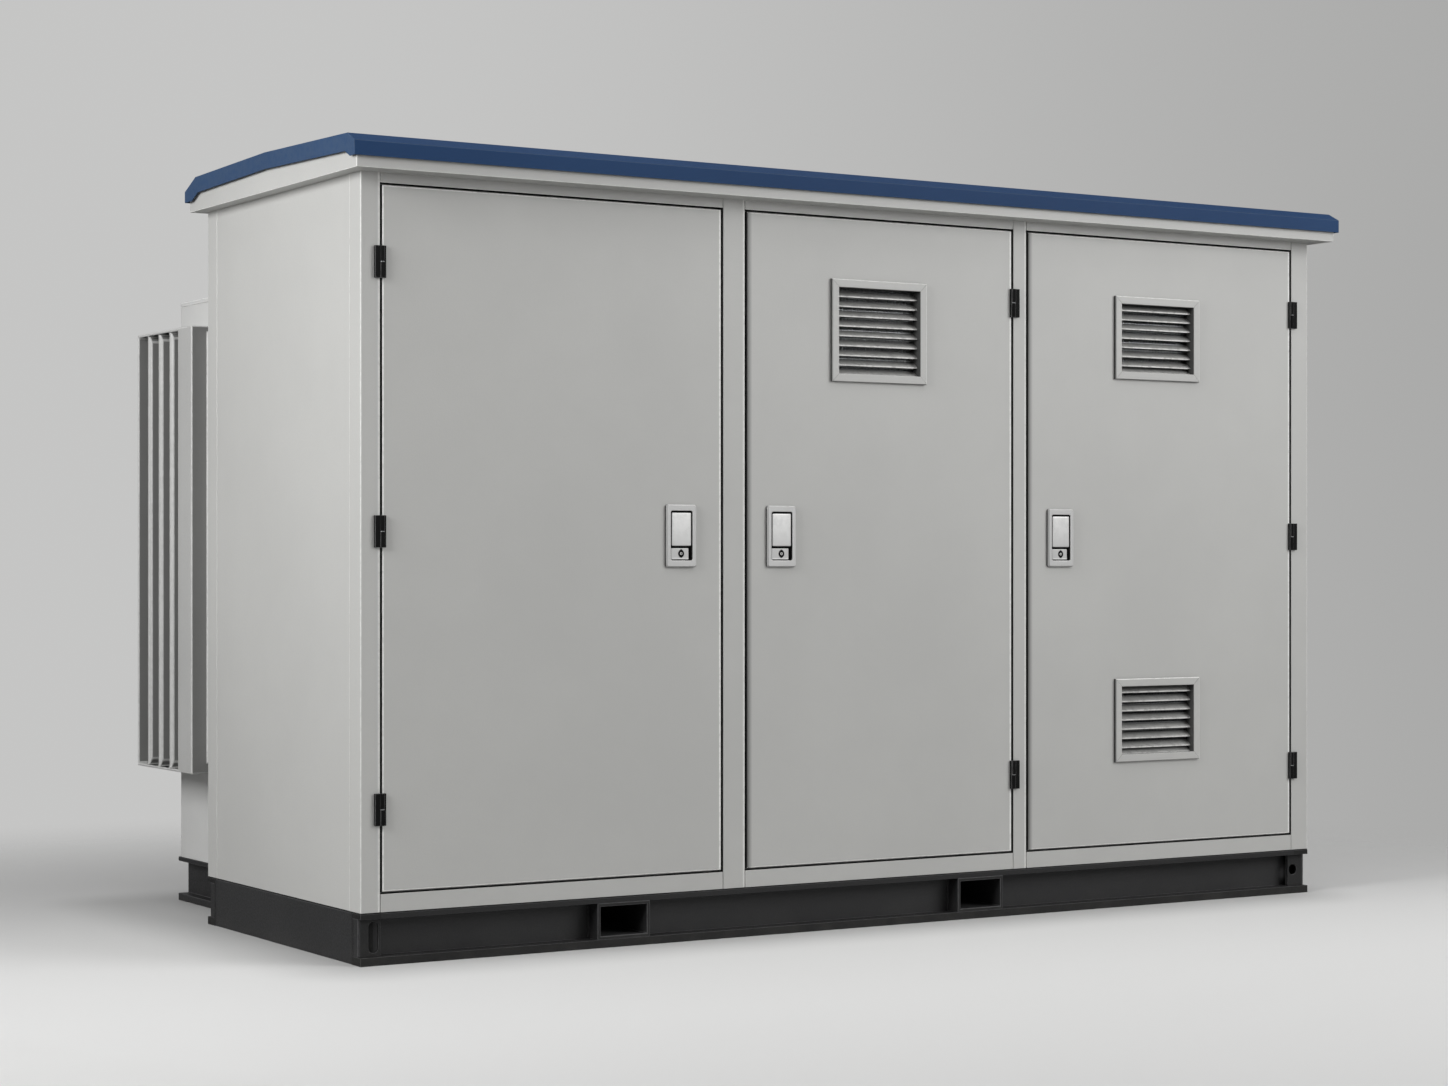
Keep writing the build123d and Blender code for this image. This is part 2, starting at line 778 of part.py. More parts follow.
def make_paddle(latch_x):
    """Paddle that pulls out at its lower edge, on two stub pins near its top."""
    half = tray_width / 2 - paddle_side_gap
    with BuildPart() as paddle:
        block(
            (latch_x - half, latch_x + half),
            (pivot_plane - paddle_thickness / 2, pivot_plane + paddle_thickness / 2),
            (paddle_bottom, paddle_top),
        )
        chamfer(paddle.faces().sort_by(Axis.Y)[0].edges(), paddle_edge)
        pin_reach = tray_width / 2 + tray_wall
        with BuildSketch(Plane.YZ.offset(latch_x - pin_reach)):
            with Locations((pivot_plane, pivot_height)):
                Circle(paddle_pin_radius)
        extrude(amount=2 * pin_reach)
    return paddle


def hinge_half(pin_x, side, heights, on_frame):
    """Leaves of the lift-off hinges. side is +1 when the leaf lies to the right of the pin."""
    knuckle = hinge_proud / 2
    width = frame_leaf_width if on_frame else door_leaf_width
    with BuildPart() as leaves:
        for height in heights:
            low = height - hinge_length / 2
            high = height + hinge_length / 2
            own = (low, height - knuckle_gap / 2) if on_frame else (height + knuckle_gap / 2, high)
            bore_end = high - knuckle_cap
            block(
                sorted((pin_x + side * (knuckle + knuckle_gap), pin_x + side * width)),
                (front - leaf_thickness, front),
                (low, high),
            )
            block(
                sorted((pin_x, pin_x + side * (knuckle + 2 * knuckle_gap))),
                (front - leaf_thickness, front - knuckle_seat),
                own,
            )
            with BuildSketch(Plane.XY.offset(own[0])):
                with Locations((pin_x, pin_plane)):
                    Circle(knuckle)
            extrude(amount=own[1] - own[0])
            if on_frame:
                pin_start = own[1] - pin_root
                with BuildSketch(Plane.XY.offset(pin_start)):
                    with Locations((pin_x, pin_plane)):
                        Circle(pin_radius)
                extrude(amount=bore_end - pin_end_gap - pin_start)
            else:
                with BuildSketch(Plane.XY.offset(own[0])):
                    with Locations((pin_x, pin_plane)):
                        Circle(pin_radius + pin_clearance)
                extrude(amount=bore_end - own[0], mode=Mode.SUBTRACT)
    return leaves


outer_hinges = (
    door_top - outer_hinge_inset,
    (door_top - outer_hinge_inset + door_bottom + outer_hinge_rise) / 2 + middle_hinge_shift,
    door_bottom + outer_hinge_rise,
)
door_2_hinges = (door_top - door_2_hinge_inset, door_bottom + door_2_hinge_rise)


def vent_below(margin, opening_height):
    """Height of the middle of a vent that hangs a margin below the top of the door."""
    return door_top - margin - vent_bar - opening_height / 2


def vent_above(margin, opening_height):
    """Height of the middle of a vent that stands a margin above the bottom of the door."""
    return door_bottom + margin + vent_bar + opening_height / 2


doors = {
    "door_1": {
        "opening": openings[0], "hinge_side": -1, "heights": outer_hinges,
        "latch_setback": latch_setback_1, "vents": {},
    },
    "door_2": {
        "opening": openings[1], "hinge_side": 1, "heights": door_2_hinges,
        "latch_setback": latch_setback_2,
        "vents": {"door_2_vent": (
            vent_offset_door_2,
            vent_below(vent_top_margin, vent_opening_height_door_2),
            vent_opening_height_door_2,
        )},
    },
    "door_3": {
        "opening": openings[2], "hinge_side": 1, "heights": outer_hinges,
        "latch_setback": latch_setback_3,
        "vents": {
            "door_3_top_vent": (
                vent_offset_door_3,
                vent_below(vent_top_margin, vent_opening_height_door_3),
                vent_opening_height_door_3,
            ),
            "door_3_bottom_vent": (
                vent_offset_door_3,
                vent_above(vent_bottom_margin, vent_opening_height_door_3),
                vent_opening_height_door_3,
            ),
        },
    },
}

for door_name, facts in doors.items():
    x_low = facts["opening"][0] + door_gap
    x_high = facts["opening"][1] - door_gap
    middle = (x_low + x_high) / 2
    side = facts["hinge_side"]
    latch_x = x_high - facts["latch_setback"] if side < 0 else x_low + facts["latch_setback"]
    pin_x = (x_low if side < 0 else x_high) + side * door_gap / 2
    vent_places = [(middle + shift, height, opening) for shift, height, opening in facts["vents"].values()]
    save(make_door(x_low, x_high, latch_x, vent_places), door_name)
    save(hinge_half(pin_x, -side, facts["heights"], False), f"{door_name}_hinge_leaves")
    save(hinge_half(pin_x, side, facts["heights"], True), f"{door_name}_frame_leaves")
    save(make_latch(latch_x), f"{door_name}_latch")
    save(make_paddle(latch_x), f"{door_name}_paddle")
    for vent_name, (shift, height, opening) in facts["vents"].items():
        save(make_vent(middle + shift, height, opening), vent_name)
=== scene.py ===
import math

import bmesh
import bpy
from mathutils import Matrix, Vector


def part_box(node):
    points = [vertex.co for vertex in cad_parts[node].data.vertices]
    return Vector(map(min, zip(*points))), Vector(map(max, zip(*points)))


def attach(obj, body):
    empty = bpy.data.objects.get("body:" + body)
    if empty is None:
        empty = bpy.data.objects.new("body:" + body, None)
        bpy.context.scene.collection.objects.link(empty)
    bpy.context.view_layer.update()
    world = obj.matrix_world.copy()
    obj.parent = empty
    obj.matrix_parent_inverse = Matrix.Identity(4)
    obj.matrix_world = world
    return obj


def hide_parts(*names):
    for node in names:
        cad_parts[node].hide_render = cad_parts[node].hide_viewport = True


# Compact substation: a light grey cabinet on a black skid, with a blue roof and an oil transformer behind it.
# Metres. X runs along the doors, Y towards the transformer, Z up.

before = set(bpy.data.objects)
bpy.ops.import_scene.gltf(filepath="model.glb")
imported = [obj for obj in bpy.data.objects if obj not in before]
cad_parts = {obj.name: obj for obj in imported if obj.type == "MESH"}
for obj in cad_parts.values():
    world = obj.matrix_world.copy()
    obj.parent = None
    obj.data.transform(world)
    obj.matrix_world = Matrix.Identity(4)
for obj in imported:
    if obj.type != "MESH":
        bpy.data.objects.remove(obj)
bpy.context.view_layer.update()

DOORS = ("door_1", "door_2", "door_3")
VENTS = {"door_2_vent": "door_2", "door_3_top_vent": "door_3", "door_3_bottom_vent": "door_3"}
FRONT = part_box("door_1")[0][1]
DOOR_GAP = 0.006
DOOR_DEPTH = 0.028
FOLD = 0.004
ORIGIN = (0.0, 0.0, 0.0)


# Shader groups shared by the finishes

def new_group(name, inputs, outputs):
    """A shader node group with number inputs and outputs, and a vector input for the place."""
    group = bpy.data.node_groups.new(name, "ShaderNodeTree")
    group.interface.new_socket("Place", in_out="INPUT", socket_type="NodeSocketVector")
    for label, value in inputs.items():
        socket = group.interface.new_socket(label, in_out="INPUT", socket_type="NodeSocketFloat")
        socket.default_value = value
    for label in outputs:
        group.interface.new_socket(label, in_out="OUTPUT", socket_type="NodeSocketFloat")
    start = group.nodes.new("NodeGroupInput")
    end = group.nodes.new("NodeGroupOutput")
    return group, start.outputs, end.inputs


def put(tree, kind, links=(), **settings):
    """Adds a node, sets its values and joins its inputs."""
    node = tree.nodes.new(kind)
    for key, value in settings.items():
        setattr(node, key, value)
    for socket, source in links:
        if isinstance(source, (int, float, tuple)):
            node.inputs[socket].default_value = source
        else:
            tree.links.new(source, node.inputs[socket])
    return node


def math_node(tree, operation, first, second=0.0, clamp=False):
    links = [(0, first), (1, second)]
    return put(tree, "ShaderNodeMath", links, operation=operation, use_clamp=clamp).outputs[0]


def vector_node(tree, operation, first, second=ORIGIN, output="Vector"):
    links = [(0, first), (1, second)]
    return put(tree, "ShaderNodeVectorMath", links, operation=operation).outputs[output]


def part_of(tree, vector, axis):
    return put(tree, "ShaderNodeSeparateXYZ", [(0, vector)]).outputs[axis]


def ranged(tree, value, low, high, new_low=0.0, new_high=1.0, curve="SMOOTHSTEP"):
    """Value between low and high, stretched to a new range."""
    links = [("Value", value), ("From Min", low), ("From Max", high),
             ("To Min", new_low), ("To Max", new_high)]
    return put(tree, "ShaderNodeMapRange", links, interpolation_type=curve).outputs["Result"]


def noise(tree, place, scale, detail, roughness):
    links = [("Vector", place), ("Scale", scale), ("Detail", detail), ("Roughness", roughness)]
    return put(tree, "ShaderNodeTexNoise", links).outputs["Fac"]


CLOUD_SCALE, GRAIN_SCALE, DUST_SCALE = 1.7, 190.0, 9.0


def powder_coat_group():
    """Orange peel of a powder coat, the slight waves of the sheet under it, and soft clouds of tone."""
    group, start, end = new_group(
        "powder_coat",
        {"Peel Size": 420.0, "Peel Depth": 1.0, "Wave Size": 3.2, "Wave Depth": 1.0},
        ("Height", "Cloud", "Grain"),
    )
    place = start["Place"]
    peel = noise(group, place, start["Peel Size"], 1.0, 0.4)
    wave = noise(group, place, start["Wave Size"], 1.0, 0.4)
    peel_height = math_node(group, "MULTIPLY", peel, start["Peel Depth"])
    wave_height = math_node(group, "MULTIPLY", wave, start["Wave Depth"])
    group.links.new(math_node(group, "ADD", peel_height, wave_height), end["Height"])
    group.links.new(ranged(group, noise(group, place, CLOUD_SCALE, 4.0, 0.6), 0.3, 0.7), end["Cloud"])
    group.links.new(ranged(group, noise(group, place, GRAIN_SCALE, 3.0, 0.7), 0.25, 0.75), end["Grain"])
    return group


def dust_group():
    """Fine dust that gathers low down and on faces that look up."""
    group, start, end = new_group("dust", {"Reach": 0.25, "Top Share": 0.5, "Amount": 0.5}, ("Mask",))
    place = start["Place"]
    low_down = ranged(group, part_of(group, place, "Z"), 0.0, start["Reach"], 1.0, 0.0, "LINEAR")
    normal = put(group, "ShaderNodeNewGeometry").outputs["Normal"]
    upward = ranged(group, part_of(group, normal, "Z"), 0.4, 1.0)
    top = math_node(group, "MULTIPLY", upward, start["Top Share"])
    both = math_node(group, "MAXIMUM", math_node(group, "MULTIPLY", low_down, 0.6), top)
    patches = ranged(group, noise(group, place, DUST_SCALE, 5.0, 0.65), 0.35, 0.7, 0.2, 1.0)
    amount = math_node(group, "MULTIPLY", math_node(group, "MULTIPLY", both, patches), start["Amount"], True)
    group.links.new(amount, end["Mask"])
    return group


def painted_light_group():
    """Shares of a painted highlight along edges and of painted shade, read from the mesh's highlight and
    shade layers.
    """
    group, start, end = new_group("painted_edge_light", {"Amount": 0.5, "Break Size": 60.0}, ("Mask", "Shade"))
    painted_highlight = put(group, "ShaderNodeAttribute", attribute_name="painted_highlight").outputs["Fac"]
    breaks = ranged(group, noise(group, start["Place"], start["Break Size"], 3.0, 0.6), 0.3, 0.6, 0.55, 1.0)
    share = math_node(group, "MULTIPLY", math_node(group, "MULTIPLY", painted_highlight, breaks), start["Amount"], True)
    group.links.new(share, end["Mask"])
    shade = put(group, "ShaderNodeAttribute", attribute_name="shade").outputs["Fac"]
    group.links.new(math_node(group, "MULTIPLY", shade, 1.0, True), end["Shade"])
    return group


GROUPS = {"coat": powder_coat_group(), "dust": dust_group(), "edge": painted_light_group()}


def placed_group(tree, key, place, **values):
    """One of the shared groups inside a material, with its own values."""
    node = tree.nodes.new("ShaderNodeGroup")
    node.node_tree = GROUPS[key]
    tree.links.new(place, node.inputs["Place"])
    for label, value in values.items():
        node.inputs[label.replace("_", " ")].default_value = value
    return node.outputs


def mixed(tree, share, first, second):
    """Colour that goes from first to second with the share."""
    node = put(tree, "ShaderNodeMix", [("Factor", share)], data_type="RGBA")
    for socket, colour in ((node.inputs[6], first), (node.inputs[7], second)):
        if isinstance(colour, tuple):
            socket.default_value = (*colour, 1.0)
        else:
            tree.links.new(colour, socket)
    return node.outputs[2]


GRAIN_TONE = 0.35
DUST_ROUGHNESS = 0.3
BUMP_STRENGTH = 0.6


def coat(name, colour, cloudy, highlight_colour, dust_colour, roughness, bump, edge=0.5, dust=0.3, metallic=0.0,
         specular=0.5, peel_size=420.0, peel_depth=1.0, wave_size=3.2, wave_depth=1.0, reach=0.25, top=0.4,
         shade=(0.055, 0.055, 0.053)):
    """A painted or bare metal finish: clouds, grain, a painted highlight along edges (edge is its share),
    painted shade and dust on one shader.
    """
    material = bpy.data.materials.new(name)
    material.use_nodes = True
    tree = material.node_tree
    shader = tree.nodes["Principled BSDF"]
    place = put(tree, "ShaderNodeTexCoord").outputs["Object"]
    surface = placed_group(tree, "coat", place, Peel_Size=peel_size, Peel_Depth=peel_depth,
                           Wave_Size=wave_size, Wave_Depth=wave_depth)
    painted_light = placed_group(tree, "edge", place, Amount=edge)
    dust_mask = placed_group(tree, "dust", place, Amount=dust, Reach=reach, Top_Share=top)["Mask"]

    clouded = mixed(tree, surface["Cloud"], colour, cloudy)
    grained = mixed(tree, math_node(tree, "MULTIPLY", surface["Grain"], GRAIN_TONE), clouded, cloudy)
    # Painted highlight on the marked edges, then painted shade on the marked faces.
    highlighted = mixed(tree, painted_light["Mask"], grained, highlight_colour)
    shaded = mixed(tree, painted_light["Shade"], highlighted, shade)
    tree.links.new(mixed(tree, dust_mask, shaded, dust_colour), shader.inputs["Base Color"])

    rough = ranged(tree, surface["Grain"], 0.0, 1.0, *roughness)
    dusty = math_node(tree, "ADD", rough, math_node(tree, "MULTIPLY", dust_mask, DUST_ROUGHNESS), True)
    tree.links.new(dusty, shader.inputs["Roughness"])

    links = [("Height", surface["Height"]), ("Distance", bump), ("Strength", BUMP_STRENGTH)]
    tree.links.new(put(tree, "ShaderNodeBump", links).outputs["Normal"], shader.inputs["Normal"])
    shader.inputs["Metallic"].default_value = metallic
    shader.inputs["Specular IOR Level"].default_value = specular
    return material


# Each finish: its colour, the colour of its clouds, of the painted highlight on its edges and of the dust on
# it, roughness and bump

GREY = coat("grey_coat", (0.50, 0.50, 0.485), (0.47, 0.47, 0.457), (0.86, 0.86, 0.84), (0.40, 0.38, 0.34),
            (0.38, 0.48), 0.00035, edge=0.90, dust=0.10, specular=0.40)
# The blue coat's edge colour is paler and greyer: a painted sheen on its edges and on the ends of the cap.
ROOF = coat("blue_coat", (0.016, 0.045, 0.118), (0.020, 0.054, 0.136), (0.095, 0.125, 0.155),
            (0.16, 0.19, 0.23), (0.45, 0.55), 0.00030, edge=0.30, dust=0.08, specular=0.08)
SKID = coat("black_coat", (0.016, 0.016, 0.017), (0.023, 0.023, 0.024), (0.095, 0.095, 0.098),
            (0.12, 0.115, 0.105), (0.46, 0.62), 0.00045, edge=0.65, dust=0.22, specular=0.35,
            peel_size=260.0, reach=0.08, shade=(0.002, 0.002, 0.002))
HINGE = coat("hinge_black", (0.006, 0.006, 0.006), (0.009, 0.009, 0.009), (0.30, 0.30, 0.30),
             (0.03, 0.03, 0.03), (0.50, 0.60), 0.00010, edge=0.7, dust=0.04, specular=0.05, peel_size=900.0)
LATCH = coat("latch_metal", (0.50, 0.50, 0.495), (0.47, 0.47, 0.465), (0.78, 0.78, 0.77), (0.42, 0.41, 0.39),
             (0.34, 0.40), 0.00003, edge=0.6, dust=0.02, metallic=0.25, peel_size=1500.0, wave_depth=0.0)
PADDLE = coat("paddle_metal", (0.54, 0.54, 0.535), (0.51, 0.51, 0.505), (0.84, 0.84, 0.83),
              (0.42, 0.41, 0.39), (0.30, 0.36), 0.00003, edge=0.75, dust=0.02, metallic=0.30,
              peel_size=1500.0, wave_depth=0.0)
TANK = coat("tank_coat", (0.46, 0.46, 0.45), (0.42, 0.42, 0.412), (0.70, 0.70, 0.69), (0.36, 0.35, 0.32),
            (0.38, 0.50), 0.00050, edge=0.5, dust=0.18, peel_size=300.0, top=0.5)
SHEET = coat("tank_sheet", (0.64, 0.64, 0.63), (0.60, 0.60, 0.59), (0.80, 0.80, 0.79), (0.48, 0.47, 0.44),
             (0.38, 0.50), 0.00050, edge=0.5, dust=0.12, peel_size=300.0, top=0.5)
ZINC = coat("zinc", (0.42, 0.43, 0.44), (0.30, 0.31, 0.32), (0.62, 0.62, 0.62), (0.30, 0.29, 0.27),
            (0.34, 0.52), 0.00010, edge=0.4, dust=0.2, metallic=0.9, peel_size=60.0)
RUBBER = coat("black_rubber", (0.012, 0.012, 0.012), (0.018, 0.018, 0.018), (0.03, 0.03, 0.03),
              (0.05, 0.05, 0.05), (0.62, 0.78), 0.00008, edge=0.1, dust=0.1, specular=0.2, peel_size=800.0)
# The sleeve's dark tone is painted shade in the recess behind each vent frame.
SLEEVE_SHADED = coat("vent_sleeve_shaded", (0.080, 0.080, 0.079), (0.068, 0.068, 0.067), (0.24, 0.24, 0.235),
              (0.10, 0.10, 0.09), (0.40, 0.55), 0.00015, edge=0.4, dust=0.1)
# The blades are a darker copy of the grey coat: painted shade between them.
BLADE_SHADED = coat("vent_blade_shaded", (0.17, 0.17, 0.165), (0.15, 0.15, 0.147), (0.70, 0.70, 0.68), (0.20, 0.19, 0.17),
             (0.36, 0.48), 0.00015, edge=0.95, dust=0.10)


# Modelling helpers

UPRIGHT = Matrix.Rotation(math.radians(90), 3, "X")
SIDEWAYS = Matrix.Rotation(math.radians(90), 3, "Y")
MERGE = 0.00002
NEAR = 0.001
TOUCH = 0.0001
# Parts of a normal along an axis
ALONG, NEARLY, MOSTLY, SLIGHTLY = 0.99, 0.9, 0.7, 0.05
LEE = 0.3
BEAD_RIPPLE = (0.90, 1.14)


def finish_piece(name, bm, material, body, smooth=40.0):
    """Turns a bmesh into a piece that rides on a body."""
    mesh = bpy.data.meshes.new(name)
    bm.to_mesh(mesh)
    bm.free()
    mesh.materials.append(material)
    mesh.polygons.foreach_set("use_smooth", [True] * len(mesh.polygons))
    mesh.set_sharp_from_angle(angle=math.radians(smooth))
    piece = bpy.data.objects.new(name, mesh)
    bpy.context.scene.collection.objects.link(piece)
    evened = piece.modifiers.new("even_normals", "WEIGHTED_NORMAL")
    evened.keep_sharp = True
    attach(piece, body)
    return piece


def share_layer(bm, name="painted_highlight"):
    return bm.loops.layers.float.get(name) or bm.loops.layers.float.new(name)


def mark_faces(bm, faces, share=1.0, name="painted_highlight"):
    """Marks faces with a share of painted highlight, or of painted shade. share is a number, or a function of
    a place.
    """
    layer = share_layer(bm, name)
    for face in faces:
        for loop in face.loops:
            loop[layer] = share(loop.vert.co) if callable(share) else share


def faces_where(bm, test):
    """Faces whose middle and normal pass a test."""
    return [face for face in bm.faces if test(face.calc_center_median(), face.normal)]


def verts_in(geometry):
    return [item for item in geometry if isinstance(item, bmesh.types.BMVert)]


def middle_of(edge):
    return (edge.verts[0].co + edge.verts[1].co) / 2


def front_of(low, high):
    """Middle x, middle z, and width and height of a box seen from the front."""
    return (low[0] + high[0]) / 2, (low[2] + high[2]) / 2, (high[0] - low[0], high[2] - low[2])


def shrunk(size, margin):
    """Width and height, less a margin on every side."""
    return size[0] - 2 * margin, size[1] - 2 * margin


def cut_at(bm, axis, place):
    """Cuts all faces along an upright plane, so that a strip beside it can be marked."""
    point, normal = [0.0, 0.0, 0.0], [0.0, 0.0, 0.0]
    point[axis], normal[axis] = place, 1.0
    geometry = list(bm.verts) + list(bm.edges) + list(bm.faces)
    bmesh.ops.bisect_plane(bm, geom=geometry, plane_co=point, plane_no=normal)


def round_edges(bm, width, angle=25.0, segments=2, keep=None):
    """Rounds the sharp edges, gives the new faces a painted highlight and clears any painted shade on them.
    """
    share_layer(bm)
    sharp = [e for e in bm.edges if len(e.link_faces) == 2 and e.calc_face_angle(0.0) > math.radians(angle)]
    if keep:
        sharp = [e for e in sharp if keep(e)]
    made = bmesh.ops.bevel(bm, geom=sharp, offset=width, offset_type="OFFSET", segments=segments, profile=0.5,
                           affect="EDGES", material=-1, clamp_overlap=True)
    rounded = [face for face in made["faces"] if face.is_valid]
    mark_faces(bm, rounded)
    mark_faces(bm, rounded, 0.0, "shade")


def solid_of(node):
    """A merged copy of a CAD node's mesh, with its flat faces whole again."""
    bm = bmesh.new()
    bm.from_mesh(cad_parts[node].data)
    bmesh.ops.remove_doubles(bm, verts=bm.verts, dist=MERGE)
    bmesh.ops.dissolve_limit(bm, angle_limit=math.radians(1.0), verts=bm.verts, edges=bm.edges,
                             use_dissolve_boundaries=False)
    return bm


ROUND_FOLD, FOLD_MIDDLE = 0.996, 0.35
# Shares of painted highlight on the left folds of the front left post and on the folds of the walls
POST_FOLD_HIGHLIGHT, WALL_FOLD_HIGHLIGHT = 0.6, 0.85


def fold_highlight(node, normal):
    """Share of painted highlight on a round fold. Folds that look left into a gap get none, but for those of
    door_1.
    """
    if node == "front_left_post" and normal.x < 0.0:
        return POST_FOLD_HIGHLIGHT if min(-normal.x, abs(normal.y)) > FOLD_MIDDLE else 0.0
    if node.endswith("wall"):
        return WALL_FOLD_HIGHLIGHT
    return 0.0 if normal.x < -SLIGHTLY and node != "door_1" else 1.0


def softened(node, material, width, body="enclosure", segments=2, shape=None):
    """A copy of a CAD node with rounded edges, which stands for it. Round folds of grey sheet get a painted
    highlight.
    """
    bm = solid_of(node)
    if shape:
        shape(bm)
    if material is GREY:
        for face in bm.faces:
            if max(abs(part) for part in face.normal) < ROUND_FOLD:
                mark_faces(bm, [face], fold_highlight(node, face.normal))
    round_edges(bm, width, segments=segments)
    piece = finish_piece(node + "_finished", bm, material, body)
    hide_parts(node)
    return piece


def box_mesh(bm, low, high):
    """Adds a box between two corners and gives its vertices."""
    made = bmesh.ops.create_cube(bm, size=1.0)["verts"]
    size = [b - a for a, b in zip(low, high)]
    middle = [(b + a) / 2 for a, b in zip(low, high)]
    bmesh.ops.scale(bm, vec=size, verts=made)
    bmesh.ops.translate(bm, vec=middle, verts=made)
    return made


def round_bar(bm, centre, radius, depth, segments, turn=None):
    """Adds a round bar or disc and gives its vertices. It stands up unless it is turned."""
    verts = bmesh.ops.create_cone(bm, cap_ends=True, segments=segments, radius1=radius, radius2=radius,
                                  depth=depth)["verts"]
    if turn:
        bmesh.ops.rotate(bm, cent=ORIGIN, matrix=turn, verts=verts)
    bmesh.ops.translate(bm, vec=centre, verts=verts)
    return verts


def upright_face(bm, centre, width, height, radius=0.0, corners=5):
    """A face that looks forwards, with rounded corners."""
    verts = bmesh.ops.create_grid(bm, x_segments=1, y_segments=1, size=0.5)["verts"]
    bmesh.ops.scale(bm, vec=(width, height, 1.0), verts=verts)
    bmesh.ops.rotate(bm, cent=ORIGIN, matrix=UPRIGHT, verts=verts)
    bmesh.ops.translate(bm, vec=centre, verts=verts)
    face = verts[0].link_faces[0]
    if radius:
        made = bmesh.ops.bevel(bm, geom=verts, offset=radius, offset_type="OFFSET", segments=corners,
                               profile=0.5, affect="VERTICES", material=-1, clamp_overlap=False)
        face = max(made["verts"][0].link_faces, key=lambda f: f.calc_area())
    return face


def upright_ring(bm, centre, outer, inner, radius_out=0.0, radius_in=0.0, inner_centre=None):
    """A flat frame that looks forwards. outer and inner are its widths and heights."""
    faces = [upright_face(bm, centre, *outer, radius_out),
             upright_face(bm, inner_centre or centre, *inner, radius_in)]
    edges = [edge for face in faces for edge in face.edges]
    bmesh.ops.delete(bm, geom=faces, context="FACES_ONLY")
    return bmesh.ops.bridge_loops(bm, edges=edges)["faces"]


def thicken(bm, faces, depth):
    """Extrudes flat faces backwards into a solid."""
    made = bmesh.ops.extrude_face_region(bm, geom=faces)["geom"]
    bmesh.ops.translate(bm, vec=(0.0, depth, 0.0), verts=verts_in(made))


def closed(bm):
    """Turns the faces of a closed mesh outwards."""
    bmesh.ops.recalc_face_normals(bm, faces=bm.faces)


def ring_piece(name, material, body, centre, outer, inner, depth, radius_out=0.0, radius_in=0.0, soften=0.0):
    """An upright frame of one thickness, behind its centre."""
    bm = bmesh.new()
    thicken(bm, upright_ring(bm, centre, outer, inner, radius_out, radius_in), depth)
    closed(bm)
    if soften:
        round_edges(bm, soften, angle=60.0)
    return finish_piece(name, bm, material, body)


def weld_bead(bm, start, end, radius, pitch=0.006):
    """Adds a rippled bead of weld along a straight joint."""
    run = Vector(end) - Vector(start)
    count = max(2, int(run.length / pitch))
    made = bmesh.ops.create_circle(bm, cap_ends=True, segments=8, radius=radius)["verts"]
    face = made[0].link_faces[0]
    verts = list(made)
    size = 1.0
    for index in range(count):
        geometry = bmesh.ops.extrude_face_region(bm, geom=[face])["geom"]
        face = next(item for item in geometry if isinstance(item, bmesh.types.BMFace))
        wanted = BEAD_RIPPLE[index % 2]
        bmesh.ops.translate(bm, vec=(0.0, 0.0, run.length / count), verts=face.verts)
        bmesh.ops.scale(bm, vec=(wanted / size, wanted / size, 1.0), verts=face.verts)
        size = wanted
        verts.extend(face.verts)
    turn = Vector((0.0, 0.0, 1.0)).rotation_difference(run)
    bmesh.ops.rotate(bm, cent=ORIGIN, matrix=turn.to_matrix(), verts=verts)
    bmesh.ops.translate(bm, vec=start, verts=verts)


# Cabinet, skid and transformer: CAD shapes with rounded edges

BASE_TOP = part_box("base_front_channel")[1][2]
GASKET = 0.0036
JOINT = 0.0009
# Painted highlight: width of the strip beside a fold that looks right, and its shares on posts and on wall
# seams
HIGHLIGHT_WIDTH = 0.0036
POST_HIGHLIGHT, SEAM_HIGHLIGHT = 0.6, 0.35
SEAM = 0.004
# Painted shade at the left edge of doors 2 and 3, fading over this width from the gap beside the post
GAP_SHADE_WIDTH, GAP_SHADE_SHARE = 0.018, 0.95
BOX_CORNER = 0.060
FLANGE_EDGE = 0.002
UNLIT, HALF_LIT = 0.95, 0.5
FACE_SHADE = {"base_corner_plates": 0.6, "forklift_pockets": 0.7}
# Painted shade on the fin sides of each radiator: the axis they face, and its share
FIN_SIDE_SHADE = (("left_radiator", 1, 0.55), ("right_radiator", 1, 0.55), ("rear_radiator", 0, 0.15))

# How wide the edges of the CAD shapes are rounded
ROUNDED = {
    "post": 0.0006, "rail": 0.0030, "wall": 0.0022, "fascia": 0.0016, "cap": 0.0014, "skid": 0.0020,
    "tank": 0.003, "fins": 0.0040, "floor": 0.0008, "door": 0.0006, "hinge": 0.0010,
}


def lift_off_skid(bm):
    """Makes room for the gasket between the cabinet and its skid."""
    for vert in bm.verts:
        if vert.co.z < BASE_TOP + NEAR:
            vert.co.z = BASE_TOP + GASKET


def open_joints(bm):
    """Draws the ends of the rails back a little, so that a dark joint shows beside each post."""
    for door in DOORS:
        low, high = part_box(door)
        for end, step in ((low[0] - DOOR_GAP, JOINT), (high[0] + DOOR_GAP, -JOINT)):
            for vert in bm.verts:
                if abs(vert.co.x - end) < NEAR:
                    vert.co.x += step
    lift_off_skid(bm)


def highlight_right_edge(bm, edge, share):
    """Paints a highlight on the strip of the front beside a fold that looks right, as wide as the fold's
    shine.
    """
    start = edge - FOLD - HIGHLIGHT_WIDTH
    cut_at(bm, 0, start)
    strip = faces_where(bm, lambda middle, normal: normal.y < -ALONG and middle.y < FRONT + NEAR
                        and start < middle.x < edge)
    mark_faces(bm, strip, share)


def post_shape(bm):
    # Painted highlight beside each fold of the post that looks right, at the left of a door.
    for door in DOORS:
        highlight_right_edge(bm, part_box(door)[0][0] - DOOR_GAP, POST_HIGHLIGHT)
    lift_off_skid(bm)


